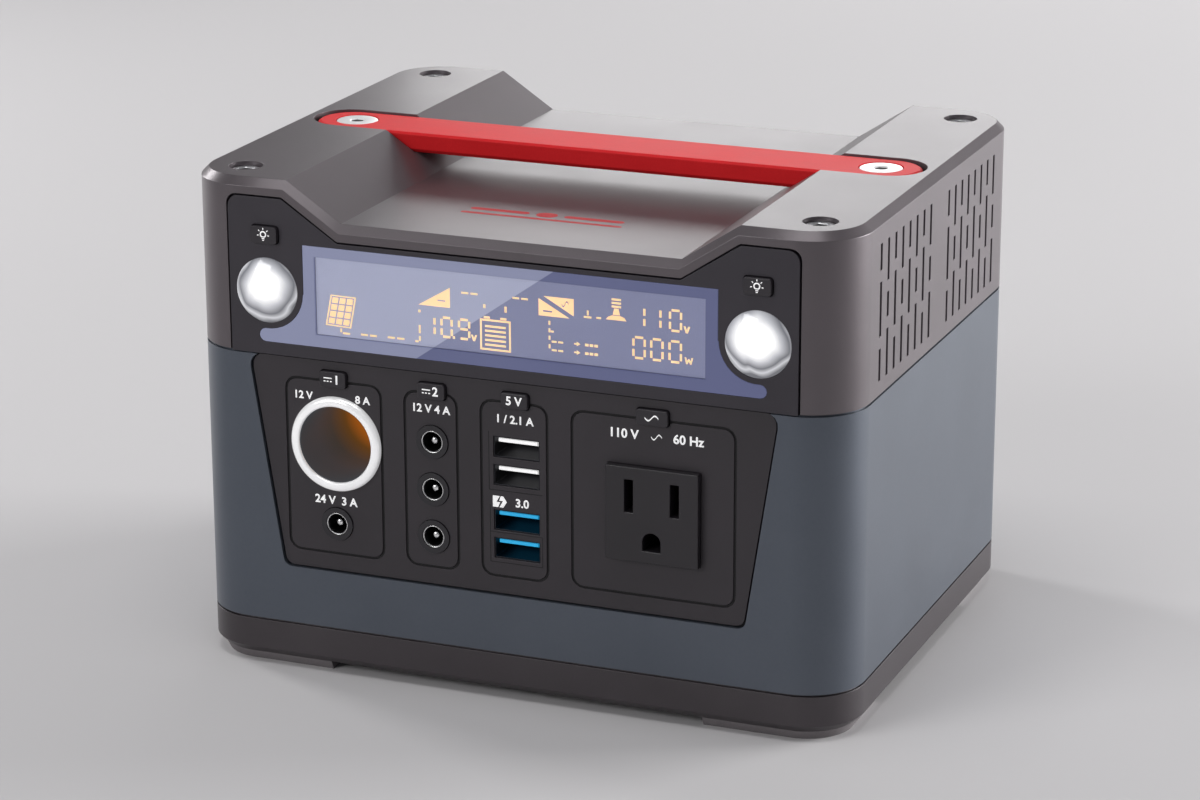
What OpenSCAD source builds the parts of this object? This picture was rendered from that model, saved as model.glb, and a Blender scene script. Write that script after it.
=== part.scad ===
// Portable power station with a carry handle: casings, panels, sockets, battery pack and inverter.
// Millimetres. X runs left to right, Y front to back, Z up. The origin is the centre of the
// footprint, on the surface that the feet stand on.

/* [Casings] */
// Overall width, left to right
body_w = 188; // [186:0.5:190]
// Overall depth of the casings, front to back
body_d = 148; // [147:0.5:150]
// Plan corner radius of the casings
corner_r = 16; // [15:0.5:18]
// Wall thickness of the casings
wall = 2.2; // [2:0.1:2.4]
// Height of the foot pads under the tray
foot_h = 2.5; // [2:0.1:3]
// Height of the seam between the tray and the middle casing
seam_low = 13.1; // [12:0.1:14]
// Height of the seam between the middle and upper casings
seam_high = 89.1; // [88.5:0.1:89.5]
// Height of the deck between the two horns
deck_z = 126.5; // [126:0.1:127]
// Height of the horns that hold the handle
horn_z = 136.9; // [136:0.1:138]
// Half width at which each horn's flat top begins
horn_x = 63.7; // [63:0.1:65]
// Half width at which each ramp meets the deck
ramp_x = 47.8; // [46:0.1:49]
// Chamfer along the top edge
edge_c = 2.15; // [1.5:0.05:2.5]

/* [Handle] */
// Width of the handle bar
handle_w = 19; // [17:0.5:20]
// Thickness of the handle bar
handle_t = 5.5; // [5:0.1:5.8]
// Overall length of the handle bar
handle_l = 177; // [175:0.5:178]
// Gap around the handle in its slots
handle_gap = 0.5; // [0.3:0.1:0.6]
// Half distance between the two handle screws
handle_screw_x = 77.3; // [76.5:0.1:78]

/* [Lamps and display] */
// Half distance between the two lamps
lamp_x = 69.2; // [69:0.1:69.4]
// Height of the lamp centres
lamp_z = 106.8; // [106.5:0.1:107]
// Diameter of a lamp lens
lamp_d = 17.8; // [17.5:0.1:18]
// Height of the lamp button centres
lamp_button_z = 122.2; // [122:0.1:122.4]
// Travel of every push button
button_travel = 0.8; // [0.4:0.1:0.9]

/* [Sockets] */
// Bore of the lighter socket
lighter_d = 20.9; // [20.7:0.1:21]
// Depth of the lighter socket's bore
lighter_depth = 38; // [36:1:39]
// Outer diameter of the lighter socket's ring
lighter_ring_d = 26.4; // [26:0.1:27]
// Lighter socket centre
lighter_x = -50; // [-50.4:0.1:-49.6]
// Lighter socket centre height
lighter_z = 66; // [65.7:0.1:66.3]
// Travel of the lighter socket's centre contact
contact_travel = 2.2; // [1:0.1:2.4]
// Flange diameter of a barrel jack
jack_d = 9.2; // [9:0.1:9.4]
// Width of a USB opening
usb_w = 12.5; // [12.3:0.1:12.6]
// Height of a USB opening
usb_h = 5.1; // [5:0.1:5.2]
// Centre distance of the AC blade slots
blade_pitch = 12.7; // [12.5:0.1:12.9]

/* [Battery] */
// Diameter of one cell
cell_d = 18.3; // [18:0.1:18.4]
// Length of one cell
cell_l = 65; // [64.5:0.1:65.2]
// Centre distance of neighbouring cells
cell_pitch = 18.8; // [18.6:0.05:18.9]
// Cells in one row
cell_columns = 8; // [6:1:8]
// Rows of cells, one above another
cell_rows = 3; // [2:1:3]

/* [Hidden] */
$fn = 48;
eps = 0.01;
front_y = -body_d / 2;
inner_x = body_w / 2 - wall;
inner_y = body_d / 2 - wall;
seam_gap = 0.6;
seam_depth = 0.8;

// Corner posts, their long screws and inserts
post_x = body_w / 2 - 13;
post_y = body_d / 2 - 13;
post_r = 5;
screw_bore_r = 2.8;
counterbore_r = 4.65;
counterbore_depth = 6;
insert_top = 15;
insert_h = 8;

// Handle slot
handle_top = horn_z - 0.4;
slot_floor = handle_top - handle_t;
handle_r = handle_w / 2;
slot_r = handle_r + handle_gap;
slot_x = handle_l / 2 - handle_r + 0.8;

// Fascia and output panel
panel_gap = 0.5;
panel_recess = 0.6;
panel_t = 3;
flange_t = 1.5;
flange_lap = 1.5;
window_t = 1.2;
lcd_w = 110.2;
lcd_low = 95.9;
lcd_high = 117.3;
board_y = -66.2;
board_t = 1.6;
output_board_y = -60;
switch_h = 1.2;
fascia_back = -inner_y + flange_t;
panel_front = front_y + panel_recess;
panel_back = panel_front + panel_t;
button_proud = 1.2;

// The socket groups: left edge, right edge, button centre, button width
groups = [
    [-64.9, -36.3, -50.3, 7.6],
    [-30.1, -14.3, -21.6, 7.8],
    [-8.1, 11.4, 2.15, 7.7],
    [17.7, 63.6, 40.7, 8.8]
];
group_low = 34.5;
group_high = 83.7;
group_button_z = 84.1;
group_button_h = 4.3;
lamp_button_w = 7.6;
lamp_button_h = 4.6;
jack_pitch = 13.25;
jack_bore_r = 3.15;
jacks = [
    [-50.35, 43.3],
    [-21.9, 69.9],
    [-21.9, 69.9 - jack_pitch],
    [-21.9, 69.9 - 2 * jack_pitch]
];
usb_x = 2.25;
usb_white_z = [70.8, 63];
usb_blue_z = [50.5, 42.7];
ac_x = 41;
ac_z = 57.6;
ac_size = 25.8;
ac_proud = 2.2;
ac_back = -50;
blade_w = 2.4;
blade_h = 8.9;
blade_z = 62.55;
ground_z = 50.2;

// Lighter socket: its ring, mouth, floor and contact
ring_proud = 1.6;
tube_r = lighter_d / 2 + 1.25;
insulator_r = 9.5;
insulator_t = 3;
contact_stem_r = 2.6;
lighter_mouth = panel_front - ring_proud + 0.8;
lighter_floor = lighter_mouth + lighter_depth;
// a plug's tip stops at this shoulder, in front of the contact
lighter_shoulder = lighter_floor - 4;

// Charging jack in the rear wall
back_y = body_d / 2;
charge_z = 80;
charge_r = 6;
charge_depth = 12;

// Battery pack
pack_low = 8;
cell_y = 4;
holder_t = 8;
holder_lip = 2;
holder_front_y = cell_y - holder_lip;
holder_rear_y = cell_y + cell_l + holder_lip - holder_t;
pack_w = cell_columns * cell_pitch + 1.2;
pack_h = cell_rows * cell_pitch + 0.8;
cells = [
    for (i = [0 : cell_columns - 1], j = [0 : cell_rows - 1])
        [(i - (cell_columns - 1) / 2) * cell_pitch, pack_low + 0.4 + (j + 0.5) * cell_pitch]
];
bms_y = holder_front_y - 6;

// Shelf, inverter board and its screws; the leads rise in front of the shelf
divider_z = pack_low + pack_h;
divider_t = 2;
standoff_h = 5;
inverter_z = divider_z + divider_t + standoff_h;
inverter_top = inverter_z + board_t;
screw_r = 1.5;
transformer = [-36, 30];
inverter_screws = [for (x = [-66, 66], y = [6, 62]) [x, y]];
lead_r = 1.6;
lead_x = [30, 40];
lead_y = bms_y - lead_r;

// Fans
fan_size = 40;
fan_depth = 10;
fan_y = 29.4;
fan_z = 108.7;
fan_bore_r = 18.6;
rotor_r = 18;
fan_hub_r = 9;
fan_x = inner_x - fan_depth;
fan_shaft_r = 1;
bearing_r = 1.05;

// ---------------------------------------------------------------- shared shapes

// Rectangle with round corners, centred
module rounded(w, h, r) {
    polygon(softened([
        [w / 2, h / 2, r],
        [-w / 2, h / 2, r],
        [-w / 2, -h / 2, r],
        [w / 2, -h / 2, r]
    ]));
}

// Footprint of the casings, pulled in by an inset
module plan(inset = 0) {
    rounded(body_w - 2 * inset, body_d - 2 * inset, corner_r - inset);
}

// A shape drawn in X and Z, standing between two depths
module upright(y0, y1) {
    translate([0, y1, 0])
        rotate([90, 0, 0])
            linear_extrude(y1 - y0)
                children();
}

// A bore or pin along Y between two depths
module along_y(x, z, r, y0, y1) {
    translate([x, y0, z])
        rotate([-90, 0, 0])
            cylinder(h = y1 - y0, r = r);
}

// A box between two corners
module box(low, high) {
    translate(low)
        cube(high - low);
}

// Copies of the children on both sides
module both_sides() {
    children();
    mirror([1, 0, 0])
        children();
}

// Copies of the children in the four corners
module four_corners() {
    for (sx = [0, 1], sy = [0, 1])
        mirror([sx, 0, 0])
            mirror([0, sy, 0])
                children();
}

function unit(v) = v / norm(v);
function turn(a, b) = (b - a + 540) % 360 - 180;

// Points of the arc that rounds corner b between a and c
function corner_arc(a, b, c, r) =
    let (
        steps = r > 5 ? 12 : 4,
        u = unit(a - b),
        v = unit(c - b),
        half = acos(u * v) / 2,
        centre = b + unit(u + v) * r / sin(half),
        first = b + u * r / tan(half) - centre,
        last = b + v * r / tan(half) - centre,
        start = atan2(first.y, first.x),
        sweep = turn(start, atan2(last.y, last.x))
    )
    [for (i = [0 : steps]) centre + r * [cos(start + sweep * i / steps), sin(start + sweep * i / steps)]];

// An outline whose corners are [x, y, radius], with radius 0 left sharp
function softened(corners) = [
    for (i = [0 : len(corners) - 1])
        let (
            n = len(corners),
            p = corners[(i + n - 1) % n],
            q = corners[i],
            s = corners[(i + 1) % n]
        )
        each q.z > 0
            ? corner_arc([p.x, p.y], [q.x, q.y], [s.x, s.y], q.z)
            : [[q.x, q.y]]
];

// A right half outline with its mirror image, both running the same way round
function mirrored(half) = concat(
    half,
    [for (i = [len(half) - 1 : -1 : 0]) [-half[i].x, half[i].y, half[i].z]]
);

// Fine groove that shows as the seam between two casings
module seam(z) {
    translate([0, 0, z - seam_gap / 2])
        linear_extrude(seam_gap)
            difference() {
                plan(-1);
                plan(seam_depth);
            }
}

// Screw post in one corner, webbed to the corner wall
module corner_post(z0, z1) {
    translate([post_x, post_y, z0])
        cylinder(h = z1 - z0, r = post_r);
    translate([0, 0, z0])
        linear_extrude(z1 - z0)
            intersection() {
                plan(wall / 2);
                translate([post_x, post_y])
                    rotate(45)
                        translate([0, -1.5])
                            square([14, 3]);
            }
}

// ---------------------------------------------------------------- casings

module bottom_tray() {
    floor_t = 2.5;
    color("dimgray")
    difference() {
        union() {
            difference() {
                hull() {
                    translate([0, 0, foot_h])
                        linear_extrude(eps)
                            plan(2);
                    translate([0, 0, foot_h + 2])
                        linear_extrude(seam_low - foot_h - 2)
                            plan();
                }
                translate([0, 0, foot_h + floor_t])
                    linear_extrude(seam_low)
                        plan(wall);
            }
            four_corners()
                corner_post(foot_h + 1, seam_low);
            four_corners()
                translate([pack_w / 2 - 12, 40, foot_h + 1])
                    cylinder(h = pack_low - foot_h - 1, r = 4);
        }
        seam(seam_low);
        four_corners()
            translate([post_x, post_y, foot_h + floor_t])
                cylinder(h = 20, r = 3.5);
        foot_sockets();
    }
}

// Shallow recesses that locate the foot pads
module foot_sockets() {
    translate([0, 0, foot_h - eps])
        linear_extrude(0.8 + eps)
            four_corners()
                foot_outline(2.6);
}

// Plan of one foot pad, pulled in by an inset
module foot_outline(inset) {
    foot_w = 40;
    foot_d = 35;
    intersection() {
        plan(inset);
        translate([body_w / 2 - foot_w, body_d / 2 - foot_d])
            square([foot_w - inset, foot_d - inset]);
    }
}

module foot_pads() {
    color("gray")
    four_corners() {
        hull() {
            linear_extrude(eps)
                foot_outline(3.2);
            translate([0, 0, foot_h - eps])
                linear_extrude(eps)
                    foot_outline(2);
        }
        translate([0, 0, foot_h - eps])
            linear_extrude(0.7)
                foot_outline(2.8);
    }
}

module middle_casing() {
    color("slategray")
    difference() {
        union() {
            translate([0, 0, seam_low])
                linear_extrude(seam_high - seam_low)
                    difference() {
                        plan();
                        plan(wall);
                    }
            four_corners()
                corner_post(seam_low, seam_high);
        }
        seam(seam_low);
        seam(seam_high);
        four_corners()
            translate([post_x, post_y, 0])
                cylinder(h = seam_high + 1, r = screw_bore_r);
        upright(front_y - 1, -inner_y + eps)
            polygon(panel_outline(0));
        upright(inner_y - eps, body_d / 2 + 1)
            translate([0, charge_z])
                circle(charge_r + 0.1);
    }
}

// Output panel outline, grown by an amount; its top edge is the upper seam
function panel_outline(grow) = softened(mirrored([
    [75.4 + grow, seam_high + max(grow, 0), 3.5],
    [66.3 + grow, 29.5 - grow, 2.5 + max(grow, 0)]
]));

// One convex half of the top: a horn, its ramp and its chamfers
module horn_block() {
    module slice(inset, z, x0) {
        translate([0, 0, z])
            linear_extrude(eps)
                intersection() {
                    plan(inset);
                    translate([x0, -body_d])
                        square([body_w, 2 * body_d]);
                }
    }
    hull() {
        slice(0, seam_high, ramp_x);
        slice(0, deck_z - edge_c - eps, ramp_x);
        slice(edge_c, deck_z - eps, ramp_x);
        slice(0, horn_z - edge_c - eps, horn_x);
        slice(edge_c, horn_z - eps, horn_x);
    }
}

// Outside of the upper casing
module upper_shape() {
    both_sides()
        horn_block();
    rotate([90, 0, 90])
        translate([0, 0, -ramp_x - eps])
            linear_extrude(2 * ramp_x + 2 * eps)
                polygon([
                    [front_y, seam_high],
                    [-front_y, seam_high],
                    [-front_y, deck_z - edge_c],
                    [-front_y - edge_c, deck_z],
                    [front_y + edge_c, deck_z],
                    [front_y, deck_z - edge_c]
                ]);
}

// Inside of the upper casing
module upper_cavity() {
    slope = atan((horn_z - deck_z) / (horn_x - ramp_x));
    shift = wall * tan(slope / 2);
    intersection() {
        translate([0, 0, seam_high - 1])
            linear_extrude(horn_z)
                plan(wall);
        upright(front_y, -front_y)
            polygon([
                [-inner_x - 1, seam_high - 1],
                [inner_x + 1, seam_high - 1],
                [inner_x + 1, horn_z - wall],
                [horn_x + shift, horn_z - wall],
                [ramp_x + shift, deck_z - wall],
                [-ramp_x - shift, deck_z - wall],
                [-horn_x - shift, horn_z - wall],
                [-inner_x - 1, horn_z - wall]
            ]);
    }
}

// Plan of one handle slot, grown by an amount
module slot_plan(grow = 0) {
    translate([slot_x, 0])
        circle(slot_r + grow);
    translate([ramp_x - 1, -slot_r - grow])
        square([slot_x - ramp_x + 1, 2 * (slot_r + grow)]);
}

// Two groups of staggered vent slots in one side wall
module vents() {
    pitch = 6.07;
    slot_w = 1.6;
    first = 8.15;
    short_rows = [[122.7, 129.8], [105, 119.6], [93.2, 101.8]];
    long_rows = [[118.7, 129.8], [109, 115.6], [93.2, 105.8]];
    for (side = [-1, 1], k = [0 : 7]) {
        rows = (k % 2 == 0) == (side > 0) ? short_rows : long_rows;
        for (row = rows)
            box(
                [inner_x - 1, side * (first + pitch * k) - slot_w / 2, row[0]],
                [body_w / 2 + 1, side * (first + pitch * k) + slot_w / 2, row[1]]
            );
    }
}

module upper_casing() {
    color("#4a4548")
    difference() {
        upper_shape();
        difference() {
            upper_cavity();
            both_sides()
                translate([0, 0, slot_floor - wall])
                    linear_extrude(horn_z)
                        slot_plan(wall);
            both_sides()
                translate([handle_screw_x, 0, slot_floor - 11])
                    cylinder(h = 12, r = 5);
            four_corners()
                corner_post(seam_high, horn_z);
        }
        seam(seam_high);
        both_sides()
            translate([0, 0, slot_floor])
                linear_extrude(horn_z)
                    slot_plan();
        both_sides()
            translate([handle_screw_x, 0, slot_floor - 9])
                cylinder(h = 12, r = 3.5);
        four_corners()
            translate([post_x, post_y, seam_high - 1])
                cylinder(h = horn_z, r = screw_bore_r);
        four_corners()
            translate([post_x, post_y, horn_z - counterbore_depth])
                cylinder(h = horn_z, r = counterbore_r);
        upright(front_y - 1, -inner_y + 0.6)
            polygon(fascia_outline(0));
        both_sides()
            vents();
    }
}

module casing_screws() {
    head_h = 5;
    head_z = horn_z - counterbore_depth;
    color("silver")
    four_corners()
        translate([post_x, post_y, 0])
            difference() {
                union() {
                    translate([0, 0, head_z])
                        cylinder(h = head_h, r = 4.35);
                    translate([0, 0, insert_top - insert_h])
                        cylinder(h = head_z - insert_top + insert_h, r = 2.5);
                }
                translate([0, 0, head_z + head_h - 2.8])
                    cylinder(h = 3, d = 4.7, $fn = 6);
            }
}

module casing_inserts() {
    color("goldenrod")
    four_corners()
        translate([post_x, post_y, foot_h + 2.5])
            difference() {
                cylinder(h = insert_h, r = 3.5);
                translate([0, 0, -1])
                    cylinder(h = insert_h + 2, r = 2.5);
            }
}

// ---------------------------------------------------------------- handle

module handle() {
    bore_r = 2.7;
    seat_r = 6.1;
    seat_depth = 2.2;
    color("#d8282c")
    difference() {
        hull()
            for (sx = [-1, 1])
                translate([sx * (handle_l / 2 - handle_r), 0, 0]) {
                    translate([0, 0, slot_floor + 1])
                        cylinder(h = handle_t - 1.5, r = handle_r);
                    translate([0, 0, slot_floor])
                        cylinder(h = handle_t, r = handle_r - 0.8);
                }
        both_sides()
            translate([handle_screw_x, 0, slot_floor - 1])
                cylinder(h = handle_t + 2, r = bore_r);
        both_sides()
            translate([handle_screw_x, 0, handle_top - seat_depth])
                cylinder(h = handle_t, r = seat_r);
    }
}

module handle_screws() {
    head_r = 5.9;
    head_h = 2.1;
    head_z = handle_top - 2.2;
    color("whitesmoke")
    both_sides()
        translate([handle_screw_x, 0, 0])
            difference() {
                union() {
                    translate([0, 0, head_z])
                        cylinder(h = head_h, r = head_r);
                    translate([0, 0, slot_floor - 8])
                        cylinder(h = head_z - slot_floor + 8, r = 2.5);
                }
                translate([0, 0, head_z + head_h - 1.6])
                    cylinder(h = 3, d = 3.8, $fn = 6);
            }
}

module handle_inserts() {
    color("goldenrod")
    both_sides()
        translate([handle_screw_x, 0, slot_floor - 9])
            difference() {
                cylinder(h = 8.5, r = 3.5);
                translate([0, 0, -1])
                    cylinder(h = 12, r = 2.5);
            }
}

// ---------------------------------------------------------------- display and lamps

// Fascia outline, grown by an amount; its foot is the upper seam
function fascia_outline(grow) =
    let (valley_z = 122, top_z = 132.6)
    softened(mirrored([
        [48.3 + 0.3 * grow, valley_z + grow, 1],
        [64.2 - 0.3 * grow, top_z + grow, 1.5],
        [80.6 + grow, top_z + grow, 3 + max(grow, 0)],
        [80.6 + grow, seam_high, 0]
    ]));

// Window outline: a bar with two wings that run round below the lamps
function window_outline(grow) =
    let (
        arc_r = 10.6 - grow,
        side_x = 58.4 + grow,
        top_z = 120.15 + grow,
        foot_z = 92.6 - grow,
        start = 180 - asin((106.5 - lamp_z) / arc_r),
        stop = 270 + asin(0.7 / arc_r),
        steps = 10,
        wing = [
            for (i = [0 : steps])
                let (a = start + (stop - start) * i / steps)
                [lamp_x + arc_r * cos(a), lamp_z + arc_r * sin(a)]
        ],
        tip_r = (wing[steps].y - foot_z) / 2,
        tip = [
            for (i = [1 : 6])
                let (a = 90 - 30 * i)
                [wing[steps].x + tip_r * cos(a), foot_z + tip_r + tip_r * sin(a)]
        ],
        half = concat([[side_x, top_z], [side_x, wing[0].y + 0.2]], wing, tip)
    )
    concat(half, [for (i = [len(half) - 1 : -1 : 0]) [-half[i].x, half[i].y]]);

module front_fascia() {
    plate_back = -inner_y;
    color("#2f2c33")
    difference() {
        union() {
            upright(front_y, plate_back)
                polygon(fascia_outline(-panel_gap));
            intersection() {
                upright(plate_back, fascia_back)
                    polygon(fascia_outline(flange_lap));
                translate([0, 0, seam_high + 0.2])
                    linear_extrude(horn_z)
                        plan(wall);
            }
        }
        upright(front_y - 1, front_y + window_t)
            polygon(window_outline(0.05));
        upright(front_y, fascia_back + 1)
            translate([0, (lcd_low + lcd_high) / 2])
                square([lcd_w + 1, lcd_high - lcd_low + 1], center = true);
        both_sides()
            along_y(lamp_x, lamp_z, lamp_d / 2 + 0.1, front_y - 1, 0);
        both_sides()
            upright(front_y - 1, 0)
                translate([lamp_x, lamp_button_z])
                    rounded(lamp_button_w + 0.4, lamp_button_h + 0.4, 1);
    }
}

module display_window() {
    color("#8488a8")
    upright(front_y, front_y + window_t)
        polygon(window_outline(0));
}

module lcd_module() {
    color("#9aa0b0")
    box(
        [-lcd_w / 2, front_y + window_t + 0.1, lcd_low],
        [lcd_w / 2, board_y - 0.1, lcd_high]
    );
}

module display_board() {
    color("seagreen")
    difference() {
        box([-76, board_y, seam_high + 3], [76, board_y + board_t, 123.8]);
        for (sx = [-1, 1])
            along_y(sx * 55, 120, 1.2, board_y - 1, 0);
    }
}

module lamp_lenses() {
    dome_h = 2.7;
    dome_r = (lamp_d * lamp_d / 4 + dome_h * dome_h) / (2 * dome_h);
    color("white")
    both_sides()
        difference() {
            union() {
                intersection() {
                    translate([lamp_x, front_y - dome_h + dome_r, lamp_z])
                        sphere(dome_r);
                    along_y(lamp_x, lamp_z, lamp_d / 2, front_y - dome_h - 1, -inner_y);
                }
                along_y(lamp_x, lamp_z, lamp_d / 2, front_y, -inner_y + flange_t);
            }
            along_y(lamp_x, lamp_z, lamp_d / 2 - 1.4, front_y + 0.6, 0);
        }
}

module lamp_reflectors() {
    rim_r = lamp_d / 2 - 1.5;
    throat_r = 4.5;
    skin = 0.7;
    y0 = -inner_y - 1;
    depth = board_y - y0 - 0.2;
    color("silver")
    both_sides()
        translate([lamp_x, y0, lamp_z])
            rotate([-90, 0, 0])
                difference() {
                    cylinder(h = depth, r1 = rim_r, r2 = throat_r);
                    translate([0, 0, -eps])
                        cylinder(h = depth + 2 * eps, r1 = rim_r - skin, r2 = throat_r - 1);
                }
}

module lamp_leds() {
    half = 1.7;
    led_h = 1.6;
    color("khaki")
    for (sx = [-1, 1])
        box(
            [sx * lamp_x - half, board_y - led_h, lamp_z - half],
            [sx * lamp_x + half, board_y, lamp_z + half]
        );
}

// A push button: a cap through a plate whose back is at plate_y, a flange and a plunger
module push_button(x, z, w, h, cap_y, plate_y, switch_y) {
    flange = 0.9;
    plunger_r = 1.2;
    upright(cap_y, plate_y + eps)
        translate([x, z])
            rounded(w, h, 0.8);
    upright(plate_y + 0.05, plate_y + flange)
        translate([x, z])
            square([w + 2 * flange, h + 2 * flange], center = true);
    along_y(x, z, plunger_r, plate_y + flange - 0.1, switch_y - button_travel - 0.05);
}

// Button over one lamp
module lamp_button(side) {
    color("#2a272c")
    push_button(
        side * lamp_x, lamp_button_z, lamp_button_w, lamp_button_h,
        front_y - button_proud, fascia_back, board_y - switch_h
    );
}

module lamp_button_left() {
    lamp_button(-1);
}

module lamp_button_right() {
    lamp_button(1);
}

// Button of one socket group
module group_button(i) {
    color("#2a272c")
    push_button(
        groups[i][2], group_button_z, groups[i][3], group_button_h,
        panel_front - button_proud, panel_back, output_board_y - switch_h
    );
}

module dc1_button() {
    group_button(0);
}

module dc2_button() {
    group_button(1);
}

module usb_button() {
    group_button(2);
}

module ac_button() {
    group_button(3);
}

module tact_switches() {
    size = 3;
    color("silver")
    union() {
        for (sx = [-1, 1])
            box(
                [sx * lamp_x - size, board_y - switch_h, lamp_button_z - 1.5],
                [sx * lamp_x + size, board_y, lamp_button_z + 1.5]
            );
        for (g = groups)
            box(
                [g[2] - size, output_board_y - switch_h, group_button_z - size],
                [g[2] + size, output_board_y, group_button_z + size]
            );
    }
}

// ---------------------------------------------------------------- output panel and sockets

// Thin engraved frame round one socket group
module group_frame(x0, x1) {
    line = 0.7;
    translate([(x0 + x1) / 2, (group_low + group_high) / 2])
        difference() {
            rounded(x1 - x0, group_high - group_low, 3.5);
            rounded(x1 - x0 - 2 * line, group_high - group_low - 2 * line, 2.8);
        }
}

module output_panel() {
    flange_front = -inner_y;
    groove = 0.5;
    color("#36323a")
    difference() {
        union() {
            upright(panel_front, panel_back)
                intersection() {
                    polygon(panel_outline(-panel_gap));
                    translate([-100, 0])
                        square([200, seam_high - 0.3]);
                }
            upright(flange_front, panel_back)
                intersection() {
                    polygon(panel_outline(flange_lap));
                    translate([-100, 0])
                        square([200, seam_high - 0.1]);
                }
        }
        upright(panel_front - 1, panel_front + groove)
            for (g = groups)
                group_frame(g[0], g[1]);
        for (g = groups)
            upright(panel_front - 1, 0)
                translate([g[2], group_button_z])
                    rounded(g[3] + 0.4, group_button_h + 0.4, 1);
        along_y(lighter_x, lighter_z, lighter_d / 2 + 1.35, panel_front - 1, 0);
        for (j = jacks)
            along_y(j.x, j.y, jack_d / 2 + 0.05, panel_front - 1, 0);
        for (z = concat(usb_white_z, usb_blue_z))
            upright(panel_front - 1, 0)
                translate([usb_x, z])
                    square([usb_w + 0.7, usb_h + 0.7], center = true);
        upright(panel_front - 1, 0)
            translate([ac_x, ac_z])
                square(ac_size + 0.1, center = true);
    }
}

module lighter_ring() {
    color("white")
    difference() {
        along_y(lighter_x, lighter_z, lighter_ring_d / 2, panel_front - ring_proud, panel_front);
        along_y(lighter_x, lighter_z, tube_r, lighter_mouth, panel_front + 1);
        along_y(lighter_x, lighter_z, lighter_d / 2 + 0.2, panel_front - ring_proud - 1, panel_front + 1);
    }
}

module lighter_barrel() {
    color("dimgray")
    difference() {
        along_y(lighter_x, lighter_z, tube_r, lighter_mouth, lighter_floor + insulator_t);
        along_y(lighter_x, lighter_z, lighter_d / 2, lighter_mouth - 1, lighter_shoulder);
        along_y(lighter_x, lighter_z, lighter_d / 2 - 0.6, lighter_shoulder - eps, lighter_floor);
        along_y(lighter_x, lighter_z, insulator_r, lighter_floor - eps, lighter_floor + insulator_t + 1);
    }
}

module lighter_insulator() {
    color("orange")
    difference() {
        along_y(lighter_x, lighter_z, insulator_r, lighter_floor, lighter_floor + insulator_t);
        along_y(
            lighter_x, lighter_z, contact_stem_r + 0.1,
            lighter_floor - 1, lighter_floor + insulator_t + 1
        );
    }
}

// Sprung centre contact: a button in the socket's floor on a stem
module lighter_contact() {
    head_r = 4;
    head_back = lighter_floor - contact_travel;
    color("goldenrod") {
        along_y(lighter_x, lighter_z, head_r, head_back - 1, head_back);
        along_y(lighter_x, lighter_z, contact_stem_r, head_back - eps, lighter_floor + 2 * insulator_t);
    }
}

// Return spring behind the insulator, drawn at its pressed length
module lighter_spring() {
    turns = 3;
    spring_r = 4.2;
    wire = 0.6;
    color("silver")
    for (i = [0 : turns - 1])
        translate([lighter_x, lighter_floor + insulator_t + wire / 2 + i * wire, lighter_z])
            rotate([90, 0, 0])
                rotate_extrude()
                    translate([spring_r, 0])
                        square([wire, wire - 2 * eps], center = true);
}

module jack_bodies() {
    half = 4.5;
    color("#222225")
    for (j = jacks)
        difference() {
            union() {
                along_y(j.x, j.y, jack_d / 2, panel_front - 0.4, panel_back + 1);
                box([j.x - half, panel_back + 0.2, j.y - half], [j.x + half, output_board_y, j.y + half]);
            }
            along_y(j.x, j.y, jack_bore_r, panel_front - 1, output_board_y - 1.5);
        }
}

module jack_contacts() {
    pin_r = 1.05;
    sleeve = 0.4;
    color("silver")
    for (j = jacks) {
        difference() {
            along_y(j.x, j.y, jack_bore_r, panel_front - 0.2, output_board_y - 1.5);
            along_y(j.x, j.y, jack_bore_r - sleeve, panel_front - 1, output_board_y - 2);
        }
        along_y(j.x, j.y, pin_r, panel_front + 1, output_board_y - 2 + eps);
    }
}

module usb_shells() {
    shell = 0.3;
    color("silver")
    for (z = concat(usb_white_z, usb_blue_z))
        difference() {
            box(
                [usb_x - usb_w / 2 - shell, panel_front + 0.3, z - usb_h / 2 - shell],
                [usb_x + usb_w / 2 + shell, output_board_y, z + usb_h / 2 + shell]
            );
            box(
                [usb_x - usb_w / 2, panel_front - 1, z - usb_h / 2],
                [usb_x + usb_w / 2, output_board_y - 0.5, z + usb_h / 2]
            );
        }
}

module usb_tongue(z) {
    tongue_w = 11.1;
    tongue_h = 1.84;
    tongue_low = 0.25;
    box(
        [usb_x - tongue_w / 2, panel_front + 1.2, z + tongue_low],
        [usb_x + tongue_w / 2, output_board_y - 0.5, z + tongue_low + tongue_h]
    );
}

module usb_tongues_white() {
    color("white")
    for (z = usb_white_z)
        usb_tongue(z);
}

module usb_tongues_blue() {
    color("#2fb4e8")
    for (z = usb_blue_z)
        usb_tongue(z);
}

module ac_receptacle() {
    ground_r = 2.5;
    hole_front = panel_front - ac_proud - 1;
    hole_back = ac_back - 2;
    color("#1d1b1f")
    difference() {
        upright(panel_front - ac_proud, ac_back)
            translate([ac_x, ac_z])
                square(ac_size, center = true);
        for (sx = [-1, 1])
            box(
                [ac_x + sx * blade_pitch / 2 - blade_w / 2, hole_front, blade_z - blade_h / 2],
                [ac_x + sx * blade_pitch / 2 + blade_w / 2, hole_back, blade_z + blade_h / 2]
            );
        along_y(ac_x, ground_z + 0.3, ground_r, hole_front, hole_back);
        box([ac_x - ground_r, hole_front, ground_z - 2.2], [ac_x + ground_r, hole_back, ground_z + 0.3]);
    }
}

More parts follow.
